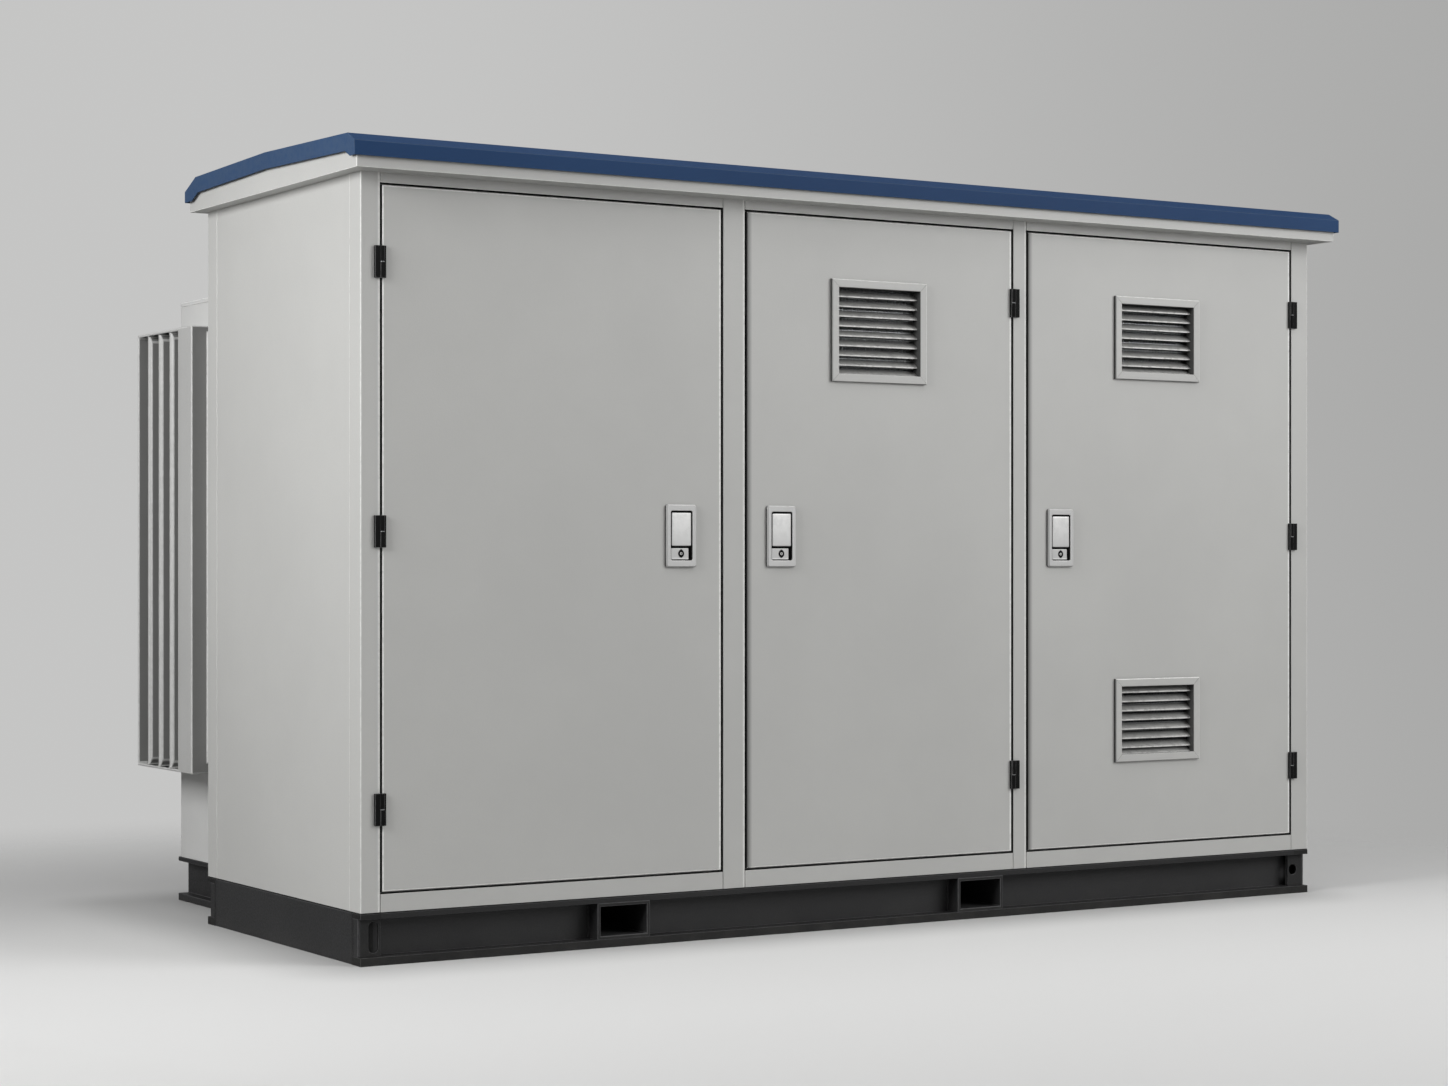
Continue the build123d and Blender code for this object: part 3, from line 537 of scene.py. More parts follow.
def wall_shape(bm):
    """Paints a highlight on the strip of each side wall along its front seam."""
    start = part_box("left_wall")[0][1]
    cut_at(bm, 1, start + SEAM)
    strip = faces_where(bm, lambda middle, normal: abs(normal.x) > ALONG and start < middle.y < start + SEAM)
    mark_faces(bm, strip, SEAM_HIGHLIGHT)
    lift_off_skid(bm)


def door_shape(door):
    """Gives the function that paints a highlight on a door's right edge, and painted shade at its left beside
    a post.
    """
    low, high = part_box(door)
    gap_shade_end = low[0] + GAP_SHADE_WIDTH

    def gap_shade(place):
        return GAP_SHADE_SHARE * max(0.0, 1.0 - (place.x - low[0]) / GAP_SHADE_WIDTH)

    def shape(bm):
        highlight_right_edge(bm, high[0], 1.0)
        if door != "door_1":
            cut_at(bm, 0, gap_shade_end)
            beside = faces_where(bm, lambda middle, normal: normal.y < -SLIGHTLY and middle.y < FRONT + FOLD
                                 and middle.x < gap_shade_end)
            mark_faces(bm, beside, gap_shade, "shade")

    return shape


def roof_end_sheen(bm):
    """Paints a paler, greyer sheen, a painted reflection, on the ends of the cap."""
    mark_faces(bm, faces_where(bm, lambda middle, normal: abs(normal.x) > MOSTLY))


def skid_shape(node):
    """Gives the function that marks where the black coat is unlit: flange edges, corners, pocket mouths."""
    low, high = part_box(node)
    corners = (low[0] + BOX_CORNER, high[0] - BOX_CORNER)

    def shape(bm):
        if node in FACE_SHADE:
            mouths = faces_where(bm, lambda middle, normal: abs(normal.y) > NEARLY)
            mark_faces(bm, mouths, FACE_SHADE[node], "shade")
        if "channel" in node:
            for side in corners:
                cut_at(bm, 0, side)
            for face in bm.faces:
                middle = face.calc_center_median()
                boxed = not corners[0] < middle.x < corners[1]
                upright = abs(face.normal.y) > NEARLY
                flange = upright and min(middle.y - low[1], high[1] - middle.y) < FLANGE_EDGE
                if boxed or flange:
                    low_down = middle.z < (low[2] + high[2]) / 2
                    mark_faces(bm, [face], UNLIT if boxed or low_down else HALF_LIT, "shade")

    return shape


def radiator_shape(axis, share):
    """Gives the function that paints shade on the fin sides, which lie in shade between the fins."""
    def shape(bm):
        mark_faces(bm, faces_where(bm, lambda middle, normal: abs(normal[axis]) > MOSTLY), share, "shade")
    return shape


for node in ("front_left_post", "mid_post_left", "mid_post_right", "front_right_post",
             "rear_left_post", "rear_right_post"):
    softened(node, GREY, ROUNDED["post"], shape=post_shape)
for node in ("door_sills", "door_headers"):
    softened(node, GREY, ROUNDED["rail"], segments=3, shape=open_joints)
for node in ("left_wall", "right_wall", "rear_wall"):
    softened(node, GREY, ROUNDED["wall"], shape=lift_off_skid if node == "rear_wall" else wall_shape)
softened("roof_frame", GREY, ROUNDED["fascia"])
softened("roof_cap", ROOF, ROUNDED["cap"], shape=roof_end_sheen)
for node in ("base_front_channel", "base_rear_channel", "base_end_plates", "base_corner_plates",
             "forklift_pockets", "base_cross_beams", "rear_skid_beams", "rear_skid_crossbeams"):
    softened(node, SKID, ROUNDED["skid"], shape=skid_shape(node))
for node in ("transformer_tank", "tank_lid", "lifting_lugs", "bushing_duct"):
    softened(node, SHEET, ROUNDED["tank"])
for node, axis, share in FIN_SIDE_SHADE:
    softened(node, TANK, ROUNDED["fins"], shape=radiator_shape(axis, share))
softened("floor_plate", ZINC, ROUNDED["floor"])
for door in DOORS:
    softened(door, GREY, ROUNDED["door"], door, shape=door_shape(door))
    softened(door + "_hinge_leaves", HINGE, ROUNDED["hinge"], door)
    softened(door + "_frame_leaves", HINGE, ROUNDED["hinge"])


# Gasket between cabinet and skid, a little behind the faces of both

GASKET_INSET, GASKET_WIDTH = 0.0012, 0.05


def base_gasket():
    low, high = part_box("base_front_channel")
    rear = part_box("base_rear_channel")[1][1]
    middle = ((low[0] + high[0]) / 2, (low[1] + rear) / 2)
    outer = shrunk((high[0] - low[0], rear - low[1]), GASKET_INSET)
    bm = bmesh.new()
    for size in (outer, shrunk(outer, GASKET_WIDTH)):
        verts = bmesh.ops.create_grid(bm, x_segments=1, y_segments=1, size=0.5)["verts"]
        bmesh.ops.scale(bm, vec=(*size, 1.0), verts=verts)
        bmesh.ops.translate(bm, vec=(*middle, BASE_TOP), verts=verts)
    edges = list(bm.edges)
    bmesh.ops.delete(bm, geom=list(bm.faces), context="FACES_ONLY")
    faces = bmesh.ops.bridge_loops(bm, edges=edges)["faces"]
    made = bmesh.ops.extrude_face_region(bm, geom=faces)["geom"]
    bmesh.ops.translate(bm, vec=(0.0, 0.0, GASKET), verts=verts_in(made))
    closed(bm)
    finish_piece("base_gasket", bm, RUBBER, "enclosure")


base_gasket()


# Doorways: black sheets that stand for the shade in the gaps, and the seal on the stop lips

GAP_SHEET = 0.0005
GAP_SHEET_BACK = 0.0006
EDGE_GAP_SHEET_BACK = {"door_1": 0.0022, "door_2": 0.0006, "door_3": 0.0006}
EDGE_GAP_SHEET_DEPTH = 0.013
SEAL_INSET, SEAL_WIDTH, SEAL_DEPTH = 0.002, 0.011, 0.0055
SEAL_CLEAR, SEAL_ROUND = 0.0003, 0.0016


def doorway(door):
    """Black sheets on both sides of the gap round a door, painted shade that keeps the gap dark, and a rubber
    seal behind it.
    """
    x, z, size = front_of(*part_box(door))
    opening = shrunk(size, -DOOR_GAP)
    ring_piece(door + "_frame_gap_shade", RUBBER, "enclosure", (x, FRONT + GAP_SHEET_BACK, z), opening,
               shrunk(opening, GAP_SHEET), DOOR_DEPTH - GAP_SHEET_BACK)
    ring_piece(door + "_edge_gap_shade", RUBBER, door, (x, FRONT + EDGE_GAP_SHEET_BACK[door], z),
               shrunk(size, -GAP_SHEET), size, EDGE_GAP_SHEET_DEPTH)
    seal = shrunk(opening, SEAL_INSET)
    ring_piece(door + "_seal", RUBBER, "enclosure", (x, FRONT + DOOR_DEPTH + SEAL_CLEAR, z), seal,
               shrunk(seal, SEAL_WIDTH), SEAL_DEPTH, soften=SEAL_ROUND)


for door in DOORS:
    doorway(door)


# Door stiffeners: two upright hat sections welded inside each sheet, at these shares of its width

STIFFENERS = {"door_1": (0.20, 0.55), "door_2": (0.24, 0.86), "door_3": (0.24, 0.86)}
HAT_HALF, HAT_FRONT, HAT_BACK, HAT_END = 0.030, 0.0026, 0.018, 0.045
HAT_TAPER, HAT_ROUND = 0.6, 0.002


def stiffeners(door):
    low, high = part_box(door)
    bm = bmesh.new()
    for share in STIFFENERS[door]:
        x = low[0] + (high[0] - low[0]) * share
        verts = box_mesh(bm, (x - HAT_HALF, FRONT + HAT_FRONT, low[2] + HAT_END),
                         (x + HAT_HALF, FRONT + HAT_BACK, high[2] - HAT_END))
        crown = [v for v in verts if v.co.y > FRONT + (HAT_FRONT + HAT_BACK) / 2]
        bmesh.ops.scale(bm, vec=(HAT_TAPER, 1.0, 1.0), space=Matrix.Translation((-x, 0.0, 0.0)), verts=crown)
    round_edges(bm, HAT_ROUND)
    finish_piece(door + "_stiffeners", bm, GREY, door)


for door in DOORS:
    stiffeners(door)


# Latches

BEZEL_DEPTH, BEZEL_CORNER = 0.006, 0.008
BEZEL_CHAMFER, BEZEL_LIP = 0.0038, 0.0016
# Shares of painted shade on the bezel's slopes and sides that look left or down
BEZEL_SLOPE_SHADE, BEZEL_SIDE_SHADE = 0.25, 0.85
PAD_DEPTH, PAD_INSET, PAD_SIDE, PAD_TOP, PAD_CORNER = 0.004, 0.0002, 0.010, 0.015, 0.004
TRAY_SIDE, TRAY_TOP, TRAY_BOTTOM = 0.014, 0.018, 0.020
TRAY_CORNER, TRAY_SUNK, TRAY_WALL, TRAY_FLOOR = 0.006, 0.0018, 0.0007, 0.003
LOCK_LEFT_GAP, LOCK_RIGHT_GAP, LOCK_FOOT_GAP = 0.0014, 0.0125, 0.0024
LOCK_SUNK, LOCK_HEIGHT, LOCK_ROUND = 0.002, 0.035, 0.0016
BAR_INSET, BAR_PROUD, BAR_LOW, BAR_HIGH = 0.001, 0.0012, 0.002, 0.0052
KEY_ACROSS, KEY_LIFT = 0.57, 0.001


def shade_lee(bm, slope_share, side_share):
    """Takes the painted highlight off the faces that look left or down, and paints shade on them: less on
    slopes, more on sides.
    """
    for face in bm.faces:
        lee = max(-face.normal.x, -face.normal.z)
        if lee > LEE:
            mark_faces(bm, [face], 0.0)
            mark_faces(bm, [face], side_share if lee > NEARLY else slope_share, "shade")


def latch(door):
    """Flush latch without its paddle: cast bezel on a black pad, black tray, lock block with a keyhole."""
    low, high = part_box(door + "_latch")
    x, z, size = front_of(low, high)
    tray = (size[0] - 2 * TRAY_SIDE, size[1] - TRAY_TOP - TRAY_BOTTOM)
    tray_low = low[2] + TRAY_BOTTOM
    tray_z = tray_low + tray[1] / 2
    face_y = low[1]
    floor_y = high[1] - TRAY_FLOOR

    def at_front(edge):
        return middle_of(edge).y < face_y + TOUCH

    def at_tray(edge):
        middle = middle_of(edge)
        return abs(middle.x - x) < tray[0] / 2 + NEAR and abs(middle.z - tray_z) < tray[1] / 2 + NEAR

    bm = bmesh.new()
    ring = upright_ring(bm, (x, face_y, z), size, tray, BEZEL_CORNER, TRAY_CORNER, (x, face_y, tray_z))
    thicken(bm, ring, BEZEL_DEPTH)
    closed(bm)
    round_edges(bm, BEZEL_CHAMFER, angle=60.0, segments=1, keep=lambda e: at_front(e) and not at_tray(e))
    round_edges(bm, BEZEL_LIP, angle=60.0, segments=3, keep=lambda e: at_front(e) and at_tray(e))
    shade_lee(bm, BEZEL_SLOPE_SHADE, BEZEL_SIDE_SHADE)
    bezel = finish_piece(door + "_latch_bezel", bm, LATCH, door, smooth=30.0)
    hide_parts(door + "_latch")

    # Black rubber pad under the bezel, which also stands for the shade along its left and lower sides.
    ring_piece(door + "_latch_pad", RUBBER, door, (x, face_y + BEZEL_DEPTH, z), shrunk(size, PAD_INSET),
               (size[0] - 2 * PAD_SIDE, size[1] - 2 * PAD_TOP), PAD_DEPTH, BEZEL_CORNER, PAD_CORNER)

    # Black tray, which stands for the shade in the gap round the paddle.
    bm = bmesh.new()
    liner_y = face_y + TRAY_SUNK
    wall = upright_ring(bm, (x, liner_y, tray_z), tray, shrunk(tray, TRAY_WALL), TRAY_CORNER,
                        TRAY_CORNER - TRAY_WALL)
    thicken(bm, wall, high[1] - liner_y - TRAY_FLOOR)
    thicken(bm, [upright_face(bm, (x, floor_y, tray_z), *tray, TRAY_CORNER)], TRAY_FLOOR)
    closed(bm)
    finish_piece(door + "_latch_tray", bm, RUBBER, door)

    lock_low = (x - tray[0] / 2 + LOCK_LEFT_GAP, face_y + LOCK_SUNK, tray_low + LOCK_FOOT_GAP)
    lock_high = (x + tray[0] / 2 - LOCK_RIGHT_GAP, floor_y, tray_low + LOCK_HEIGHT)
    bm = bmesh.new()
    box_mesh(bm, lock_low, lock_high)
    round_edges(bm, LOCK_ROUND, segments=3)
    bar = box_mesh(bm, (lock_low[0] + BAR_INSET, lock_low[1] - BAR_PROUD, lock_low[2] + BAR_LOW),
                   (lock_high[0] - BAR_INSET, lock_low[1] + BAR_INSET, lock_low[2] + BAR_HIGH))
    # Painted highlight on the bar along the foot of the lock block.
    mark_faces(bm, {face for vert in bar for face in vert.link_faces})
    finish_piece(door + "_lock_block", bm, LATCH, door)
    keyhole(door, lock_low[0] + (lock_high[0] - lock_low[0]) * KEY_ACROSS, lock_low[1],
            (lock_low[2] + lock_high[2]) / 2 + KEY_LIFT)


SHIELD_RADIUS, SHIELD_DEPTH, SHIELD_ROUND = 0.0100, 0.0016, 0.0004
SHIELD_TAPER, SHIELD_STRETCH = 0.55, 1.28
PLUG_RADIUS, PLUG_DEPTH, PLUG_ROUND, PLUG_PROUD = 0.0040, 0.0014, 0.0005, 0.0010
SLOT_SIZES, SLOT_PROUD, SLOT_ROUND = ((0.0012, 0.0062), (0.0052, 0.0012)), 0.0019, 0.0002


def keyhole(door, x, y, z):
    """Black almond-shaped escutcheon with a bright plug and a crossed slot."""
    bm = bmesh.new()
    verts = round_bar(bm, ORIGIN, SHIELD_RADIUS, SHIELD_DEPTH, 24, UPRIGHT)
    for vert in verts:
        reach = abs(vert.co.z) / SHIELD_RADIUS
        vert.co.x *= 1.0 - SHIELD_TAPER * reach ** 3
        vert.co.z *= SHIELD_STRETCH
    bmesh.ops.translate(bm, vec=(x, y, z), verts=verts)
    round_edges(bm, SHIELD_ROUND, angle=60.0)
    finish_piece(door + "_lock_shield", bm, HINGE, door)
    bm = bmesh.new()
    round_bar(bm, (x, y - PLUG_PROUD, z), PLUG_RADIUS, PLUG_DEPTH, 20, UPRIGHT)
    round_edges(bm, PLUG_ROUND, angle=60.0)
    finish_piece(door + "_lock_plug", bm, LATCH, door)
    # Black crossed bars, painted shade that stands for the key slot.
    bm = bmesh.new()
    for width, height in SLOT_SIZES:
        box_mesh(bm, (x - width / 2, y - SLOT_PROUD, z - height / 2),
                 (x + width / 2, y - PLUG_PROUD, z + height / 2))
    round_edges(bm, SLOT_ROUND)
    finish_piece(door + "_lock_slot", bm, RUBBER, door)


PADDLE_GAP = 0.004
PADDLE_CORNER = 0.003
PLATE, FIELD, FIELD_INSET = 0.0007, 0.0007, 0.0022
SLOPE_HIGHLIGHT, FIELD_HIGHLIGHT = 0.3, 0.9
BODY_INSET = 0.0006
PIN_RADIUS, PIN_DROP, PIN_ROOT = 0.002, 0.005, 0.001


def paddle(door):
    """Pull paddle: a bright plate with a raised field, on a black body with two stub pins."""
    low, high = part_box(door + "_paddle")
    body = door.replace("door", "paddle")
    latch_low, latch_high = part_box(door + "_latch")
    x, z, (reach, height) = front_of(low, high)
    width = latch_high[0] - latch_low[0] - 2 * TRAY_SIDE - 2 * PADDLE_GAP
    bm = bmesh.new()
    face = upright_face(bm, (x, low[1] + FIELD, z), width, height, PADDLE_CORNER, 4)
    thicken(bm, [face], PLATE)
    closed(bm)
    field = min(bm.faces, key=lambda f: f.calc_center_median().y)
    slope = bmesh.ops.inset_region(bm, faces=[field], thickness=FIELD_INSET, depth=0.0)["faces"]
    bmesh.ops.translate(bm, vec=(0.0, -FIELD, 0.0), verts=field.verts)
    # Painted highlight on the slope, and on the field, stronger towards its top.
    mark_faces(bm, slope, SLOPE_HIGHLIGHT)
    mark_faces(bm, [field], lambda place: FIELD_HIGHLIGHT * (place.z - low[2]) / height)
    piece = finish_piece(door + "_paddle_finished", bm, PADDLE, body, smooth=8.0)
    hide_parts(door + "_paddle")

    # Black body behind the plate, which stands for the shade at its sides.
    bm = bmesh.new()
    back_y = low[1] + FIELD + PLATE
    face = upright_face(bm, (x, back_y, z), *shrunk((width, height), BODY_INSET), PADDLE_CORNER, 4)
    thicken(bm, [face], high[1] - back_y)
    closed(bm)
    pin_length = (reach - width) / 2 + PIN_ROOT
    for tip, side in ((low[0], 1), (high[0], -1)):
        centre = (tip + side * pin_length / 2, (low[1] + high[1]) / 2, high[2] - PIN_DROP)
        round_bar(bm, centre, PIN_RADIUS, pin_length, 16, SIDEWAYS)
    finish_piece(door + "_paddle_body", bm, RUBBER, body, smooth=30.0)


for door in DOORS:
    latch(door)
    paddle(door)


# Vents

VENT_BAR = 0.024
VENT_CHAMFER, VENT_LIP = 0.0026, 0.0006
# Shares of painted shade on the frame's slopes and sides that look left or down
VENT_SLOPE_SHADE, VENT_SIDE_SHADE = 0.45, 0.85
VENT_PAD, VENT_PAD_INSET, PAD_MARGIN = 0.0055, 0.00025, 0.0005
LINER_SUNK, LINER_WALL, SLEEVE_WALL = 0.0015, 0.0006, 0.003
BLADE_PITCH = 0.029
BLADE_FRONT = 0.009
BLADE_LIP, BLADE_THICK = 0.0030, 0.0018
BLADE_RUN, BLADE_RISE = 0.021, 0.015
BLADE_SPARE = 0.0195
BLADE_HIGHLIGHT = 0.5
BLADE_END_GAP = 0.0007
SILL_LIFT, SILL_LIP = 0.0008, 0.001
SCREEN_BACK, SCREEN_STEP, WIRE = 0.002, 0.012, 0.0005


def blade_heights(opening_height):
    count = int((opening_height - 2 * BLADE_SPARE) / BLADE_PITCH) + 1
    return [BLADE_PITCH * ((count - 1) / 2 - index) for index in range(count)]


def blade(bm, x_low, x_high, z, lip=BLADE_LIP):
    """Adds one bent strip: an upright lip, and a slope that climbs inwards."""
    y = FRONT + BLADE_FRONT
    points = [(y, z - lip / 2), (y, z + lip / 2), (y + BLADE_RUN, z + lip / 2 + BLADE_RISE)]
    verts = [bm.verts.new((x_low, *point)) for point in points]
    edges = [bm.edges.new(pair) for pair in zip(verts, verts[1:])]
    made = bmesh.ops.extrude_edge_only(bm, edges=edges)["geom"]
    bmesh.ops.translate(bm, vec=(x_high - x_low, 0.0, 0.0), verts=verts_in(made))
    faces = [item for item in made if isinstance(item, bmesh.types.BMFace)]
    bmesh.ops.recalc_face_normals(bm, faces=faces)
    # Painted highlight on the lip, and on the slope fading back from its front edge.
    for face in faces:
        upright = abs(face.normal.y) > NEARLY
        mark_faces(bm, [face], 1.0 if upright else lambda place: BLADE_HIGHLIGHT if place.y < y + NEAR else 0.0)
    bmesh.ops.solidify(bm, geom=faces, thickness=-BLADE_THICK)


def vent(node, door):
    """Mitred frame on a black pad, sleeve in painted shade, sloping blades, and a wire screen behind them."""
    low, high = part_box(node)
    x, z, outer = front_of(low, high)
    inner = shrunk(outer, VENT_BAR)
    face_y = low[1]
    pad_y = FRONT - VENT_PAD

    def outer_front(edge):
        middle = middle_of(edge)
        from_side = abs(abs(middle.x - x) - outer[0] / 2)
        from_end = abs(abs(middle.z - z) - outer[1] / 2)
        return min(from_side, from_end) < TOUCH and middle.y < face_y + TOUCH

    def before_pad(edge):
        return max(vert.co.y for vert in edge.verts) < pad_y - PAD_MARGIN

    bm = bmesh.new()
    bars = upright_ring(bm, (x, face_y, z), outer, inner)
    bmesh.ops.split_edges(bm, edges=[e for e in bm.edges if len(e.link_faces) == 2])
    thicken(bm, bars, pad_y - face_y)
    closed(bm)
    round_edges(bm, VENT_CHAMFER, angle=60.0, keep=outer_front)
    round_edges(bm, VENT_LIP, angle=40.0, segments=1, keep=before_pad)
    shade_lee(bm, VENT_SLOPE_SHADE, VENT_SIDE_SHADE)
    bars_piece = finish_piece(node + "_frame", bm, GREY, door, smooth=30.0)
    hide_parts(node)

    # Black rubber pad under the frame, which also stands for the shade along its left and lower sides.
    ring_piece(node + "_pad", RUBBER, door, (x, pad_y, z), shrunk(outer, VENT_PAD_INSET), inner, VENT_PAD)

    bm = bmesh.new()
    liner = upright_ring(bm, (x, face_y + LINER_SUNK, z), inner, shrunk(inner, LINER_WALL))
    thicken(bm, liner, FRONT - face_y - LINER_SUNK)
    sleeve = upright_ring(bm, (x, FRONT, z), shrunk(inner, -SLEEVE_WALL), inner)
    thicken(bm, sleeve, high[1] - FRONT)
    closed(bm)
    finish_piece(node + "_sleeve", bm, SLEEVE_SHADED, door)

    bm = bmesh.new()
    half = inner[0] / 2 - BLADE_END_GAP
    for lift in blade_heights(inner[1]):
        blade(bm, x - half, x + half, z + lift)
    blade(bm, x - half, x + half, z - inner[1] / 2 + SILL_LIFT, SILL_LIP)
    closed(bm)
    finish_piece(node + "_blades", bm, BLADE_SHADED, door, smooth=30.0)

    bm = bmesh.new()
    y = high[1] - SCREEN_BACK
    left, right, bottom, top = x - inner[0] / 2, x + inner[0] / 2, z - inner[1] / 2, z + inner[1] / 2
    for index in range(1, int(inner[0] / SCREEN_STEP)):
        place = left + index * SCREEN_STEP
        box_mesh(bm, (place - WIRE, y - WIRE, bottom), (place + WIRE, y + WIRE, top))
    for index in range(1, int(inner[1] / SCREEN_STEP)):
        place = bottom + index * SCREEN_STEP
        box_mesh(bm, (left, y, place - WIRE), (right, y + 2 * WIRE, place + WIRE))
    finish_piece(node + "_screen", bm, ZINC, door)


for node, door in VENTS.items():
    vent(node, door)


# Sealing strip under the edge of the roof cap, which also stands for the shade under its lip

CAP_LIP = 0.003
STRIP_LOW, STRIP_HIGH, STRIP_ROUND = 0.0015, 0.010, 0.001


def roof_strip():
    """Black strip in the slot between the fascia and the lip of the cap, along front and rear; a seal, and
    painted shade under the lip.
    """
    cap_low, cap_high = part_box("roof_cap")
    body_low, body_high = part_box("roof_frame")
    bm = bmesh.new()
    bottom, top = cap_low[2] + STRIP_LOW, cap_low[2] + STRIP_HIGH
    for front, rear in ((cap_low[1] + CAP_LIP, body_low[1]), (body_high[1], cap_high[1] - CAP_LIP)):
        box_mesh(bm, (body_low[0], front, bottom), (body_high[0], rear, top))
    round_edges(bm, STRIP_ROUND)
    finish_piece("roof_seal_strips", bm, RUBBER, "enclosure")


roof_strip()


# Welds on the skid and round the lid of the tank

POCKET_WIDTH = 0.170
POCKET_BEAD, POCKET_END, BEAD_OFFSET = 0.0032, 0.004, 0.3
CHANNEL_WEB = 0.008
PLATE_WIDTH, PLATE_SUNK, PLATE_BEAD, PLATE_END = 0.062, 0.008, 0.0022, 0.002
LID_CORNER, LID_BEAD, LID_PITCH = 0.034, 0.0022, 0.009


def skid_welds():
    """Beads round the mouths of the forklift pockets and along the corner plates."""
    low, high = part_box("forklift_pockets")
    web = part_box("base_front_channel")[1][1] - CHANNEL_WEB
    plate_low, plate_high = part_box("base_corner_plates")
    bm = bmesh.new()
    for x in (low[0] + POCKET_WIDTH / 2, high[0] - POCKET_WIDTH / 2):
        for side in (-1, 1):
            edge = x + side * (POCKET_WIDTH / 2 + POCKET_BEAD * BEAD_OFFSET)
            y = web - POCKET_BEAD * BEAD_OFFSET
            weld_bead(bm, (edge, y, low[2] + POCKET_END), (edge, y, high[2] - POCKET_END), POCKET_BEAD)
    for x in (plate_low[0] + PLATE_WIDTH, plate_high[0] - PLATE_WIDTH):
        y = plate_low[1] + PLATE_SUNK
        weld_bead(bm, (x, y, plate_low[2] + PLATE_END), (x, y, plate_high[2] - PLATE_END), PLATE_BEAD)
    closed(bm)
    finish_piece("skid_welds", bm, SKID, "enclosure", smooth=60.0)


def lid_weld():
    """Bead along the joint of tank and lid, on its four straight runs."""
    low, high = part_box("transformer_tank")
    left, right = low[0] + LID_CORNER, high[0] - LID_CORNER
    front, rear, top = low[1] + LID_CORNER, high[1] - LID_CORNER, high[2]
    bm = bmesh.new()
    for y in (low[1], high[1]):
        weld_bead(bm, (left, y, top), (right, y, top), LID_BEAD, LID_PITCH)
    for x in (low[0], high[0]):
        weld_bead(bm, (x, front, top), (x, rear, top), LID_BEAD, LID_PITCH)
    closed(bm)
    finish_piece("lid_weld", bm, SHEET, "enclosure", smooth=60.0)


skid_welds()
lid_weld()


# Hinges: a plain steel washer between the knuckles of each one

# For each door: top hinge below the top edge, bottom hinge above the bottom edge, middle one above halfway
HINGES = {"door_1": (0.208, 0.222, 0.0115), "door_2": (0.221, 0.235, None), "door_3": (0.208, 0.222, 0.0115)}
WASHER_RADIUS, WASHER_DEPTH, WASHER_ROUND = 0.0065, 0.0016, 0.0004


def hinge_heights(door):
    """Heights of the hinges: upper, lower, and the one between where there is one."""
    low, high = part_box(door)
    top_drop, bottom_rise, middle_shift = HINGES[door]
    heights = [high[2] - top_drop, low[2] + bottom_rise]
    if middle_shift is not None:
        heights.append(sum(heights) / 2 + middle_shift)
    return heights


def hinge_washers(door):
    low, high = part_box(door + "_frame_leaves")
    leaf_low, leaf_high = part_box(door + "_hinge_leaves")
    x = (max(low[0], leaf_low[0]) + min(high[0], leaf_high[0])) / 2
    y = (low[1] + high[1]) / 2
    bm = bmesh.new()
    for height in hinge_heights(door):
        round_bar(bm, (x, y, height), WASHER_RADIUS, WASHER_DEPTH, 24)
    round_edges(bm, WASHER_ROUND, angle=60.0)
    finish_piece(door + "_hinge_washers", bm, ZINC, "enclosure")


for door in DOORS:
    hinge_washers(door)


# Studio

STUDIO_LEFT, STUDIO_RIGHT = (0.560, 0.560, 0.555), (0.385, 0.385, 0.38)
LEFT_END, RIGHT_END = 0.38, 0.80
FLOOR_HALF = 30.0
FLOOR_MIDDLE = (-0.9, -1.5, 0.0)
FLOOR_EDGE = (2.7, 5.3)
FLOOR_TONE, FLOOR_BOUNCE = (0.74, 0.74, 0.735), (0.40, 0.40, 0.395)
# Painted contact shadow on the floor: how far it reaches from the skid, and its tone
CONTACT_SHADE_REACH, CONTACT_SHADE_TONE = 0.34, (0.56, 0.56, 0.556)
WORLD_LIGHT = (0.15, 0.15, 0.15)


def backdrop_light_gradient(tree, direction):
    """Wall tone of the studio: painted paler on the left of the cabinet than on its right, as light that
    falls off across the wall.
    """
    across = part_of(tree, direction, "X")
    return mixed(tree, ranged(tree, across, LEFT_END, RIGHT_END), STUDIO_LEFT, STUDIO_RIGHT)


def beside_skid(tree, place):
    """Distance from the footprint of the skid."""
    low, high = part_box("base_front_channel")[0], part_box("rear_skid_beams")[1]
    middle = ((low[0] + high[0]) / 2, (low[1] + high[1]) / 2, 0.0)
    half = ((high[0] - low[0]) / 2, (high[1] - low[1]) / 2, 0.0)
    reach = vector_node(tree, "ABSOLUTE", vector_node(tree, "SUBTRACT", place, middle))
    outside = vector_node(tree, "MAXIMUM", vector_node(tree, "SUBTRACT", reach, half), ORIGIN)
    return vector_node(tree, "LENGTH", outside, output="Value")


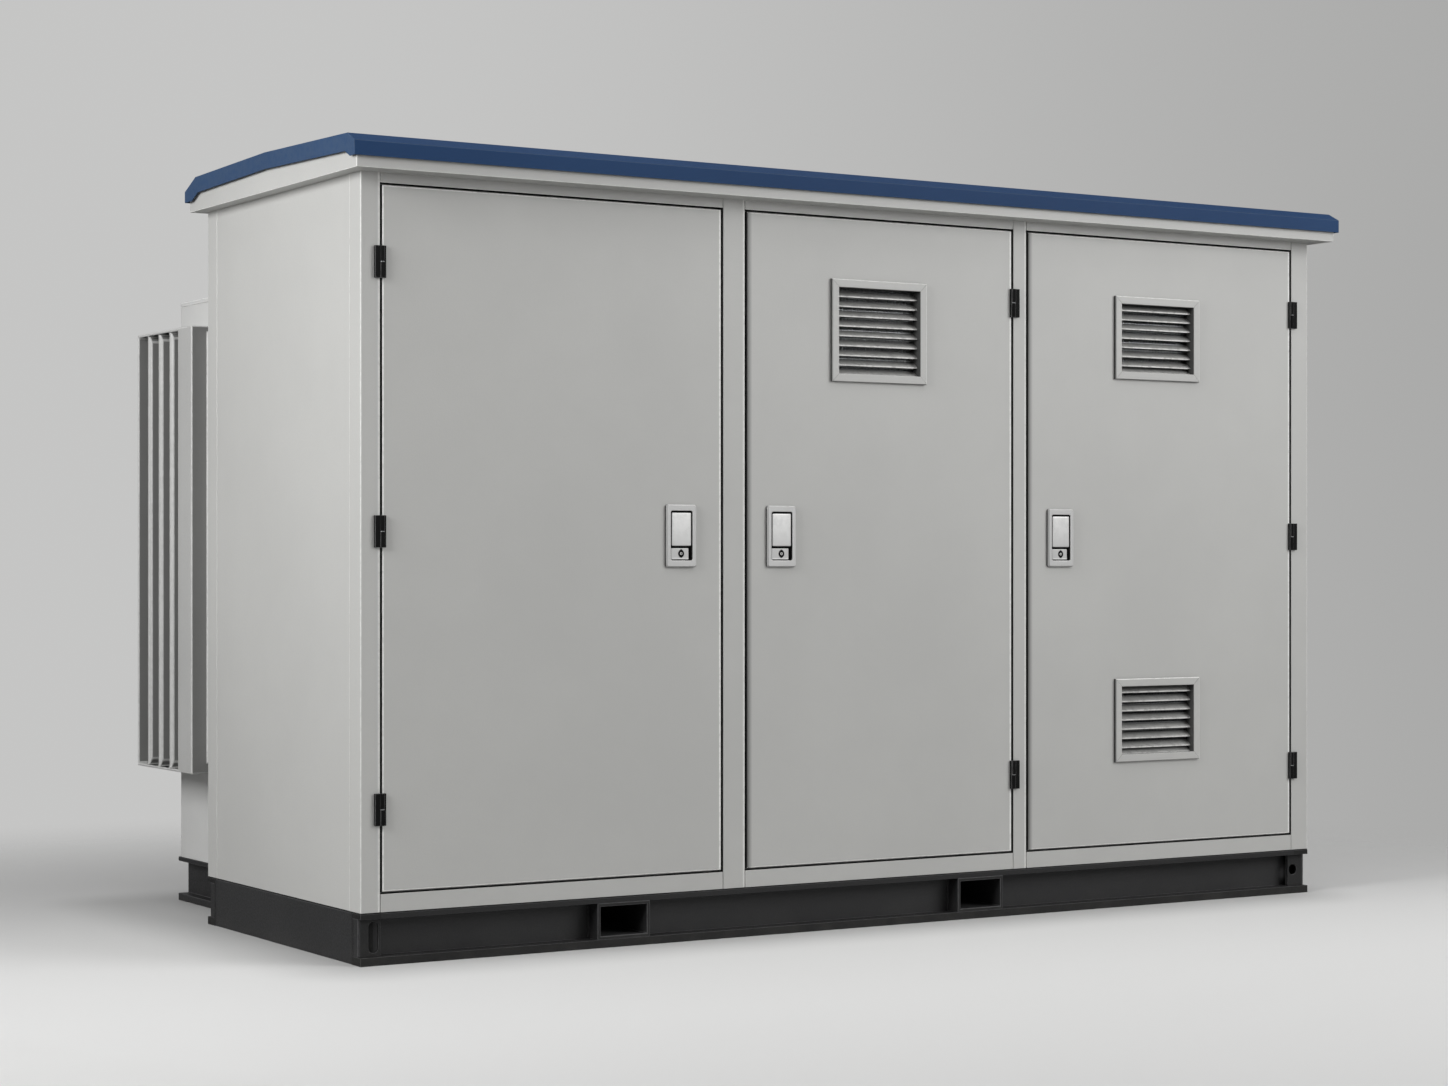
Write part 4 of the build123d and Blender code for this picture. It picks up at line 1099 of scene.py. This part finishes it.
def studio_floor():
    """A wide pale floor that takes the shadow, with a painted contact shadow round the skid, and runs out
    softly into the wall.
    """
    bm = bmesh.new()
    bmesh.ops.create_grid(bm, x_segments=1, y_segments=1, size=FLOOR_HALF)
    mesh = bpy.data.meshes.new("studio_floor")
    bm.to_mesh(mesh)
    bm.free()
    material = bpy.data.materials.new("studio_floor")
    material.use_nodes = True
    tree = material.node_tree
    shader = tree.nodes["Principled BSDF"]
    camera_ray = put(tree, "ShaderNodeLightPath").outputs["Is Camera Ray"]
    place = put(tree, "ShaderNodeTexCoord").outputs["Object"]
    floor_tone_with_shade = mixed(tree, ranged(tree, beside_skid(tree, place), 0.0, CONTACT_SHADE_REACH), CONTACT_SHADE_TONE, FLOOR_TONE)
    tree.links.new(mixed(tree, camera_ray, FLOOR_BOUNCE, floor_tone_with_shade), shader.inputs["Base Color"])
    shader.inputs["Roughness"].default_value = 0.75
    shader.inputs["Specular IOR Level"].default_value = 0.15
    distance = vector_node(tree, "DISTANCE", place, FLOOR_MIDDLE, "Value")
    clear = put(tree, "ShaderNodeBsdfTransparent").outputs["BSDF"]
    links = [(0, ranged(tree, distance, *FLOOR_EDGE)), (1, shader.outputs["BSDF"]), (2, clear)]
    run_out = put(tree, "ShaderNodeMixShader", links)
    tree.links.new(run_out.outputs["Shader"], tree.nodes["Material Output"].inputs["Surface"])
    mesh.materials.append(material)
    floor = bpy.data.objects.new("studio_floor", mesh)
    bpy.context.scene.collection.objects.link(floor)


def lamp(name, place, aim, size, power, spread=180.0):
    """A large soft box that looks at a point. spread narrows its beam."""
    data = bpy.data.lights.new(name, "AREA")
    data.shape = "RECTANGLE"
    data.size, data.size_y = size
    data.energy = power
    data.spread = math.radians(spread)
    light = bpy.data.objects.new(name, data)
    light.location = place
    light.rotation_mode = "QUATERNION"
    light.rotation_quaternion = (Vector(aim) - Vector(place)).to_track_quat("-Z", "Y")
    bpy.context.scene.collection.objects.link(light)


studio_floor()
lamp("key_right", (4.8, -6.4, 4.2), (0.6, -0.6, 1.1), (4.4, 4.2), 345.0)
lamp("fill_left", (-6.0, -1.6, 3.1), (-1.7, -0.9, 1.9), (2.8, 2.4), 104.0, spread=110.0)
lamp("front_low", (1.6, -8.4, 0.9), (0.4, -0.9, 0.7), (5.0, 1.4), 44.0)
lamp("overhead", (0.0, -1.5, 7.0), (0.0, -0.8, 0.0), (8.0, 6.0), 170.0)
lamp("rear_fill", (1.0, 8.0, 4.0), (0.0, 0.5, 1.0), (5.0, 3.0), 20.0)

world = bpy.data.worlds.new("studio")
bpy.context.scene.world = world
world.use_nodes = True
tree = world.node_tree
background = tree.nodes["Background"]
light_path = put(tree, "ShaderNodeLightPath").outputs
seen = math_node(tree, "MAXIMUM", light_path["Is Camera Ray"], light_path["Is Transmission Ray"])
backdrop_light = backdrop_light_gradient(tree, put(tree, "ShaderNodeTexCoord").outputs["Generated"])
tree.links.new(mixed(tree, seen, WORLD_LIGHT, backdrop_light), background.inputs["Color"])
background.inputs["Strength"].default_value = 1.0

# Camera, level, at 1.09 m, looking 31.5 degrees to the right of straight on

camera_data = bpy.data.cameras.new("camera")
camera_data.sensor_width = 36.0
camera_data.lens = 72.40
camera_data.shift_y = 0.01291
camera_data.clip_start = 0.1
camera_data.clip_end = 100.0
camera = bpy.data.objects.new("camera", camera_data)
camera.location = (-4.9460, -8.0564, 1.0865)
camera.rotation_euler = (math.radians(90.0), 0.0, math.radians(-31.533))
bpy.context.scene.collection.objects.link(camera)
bpy.context.scene.camera = camera
bpy.context.scene.view_settings.view_transform = "Standard"
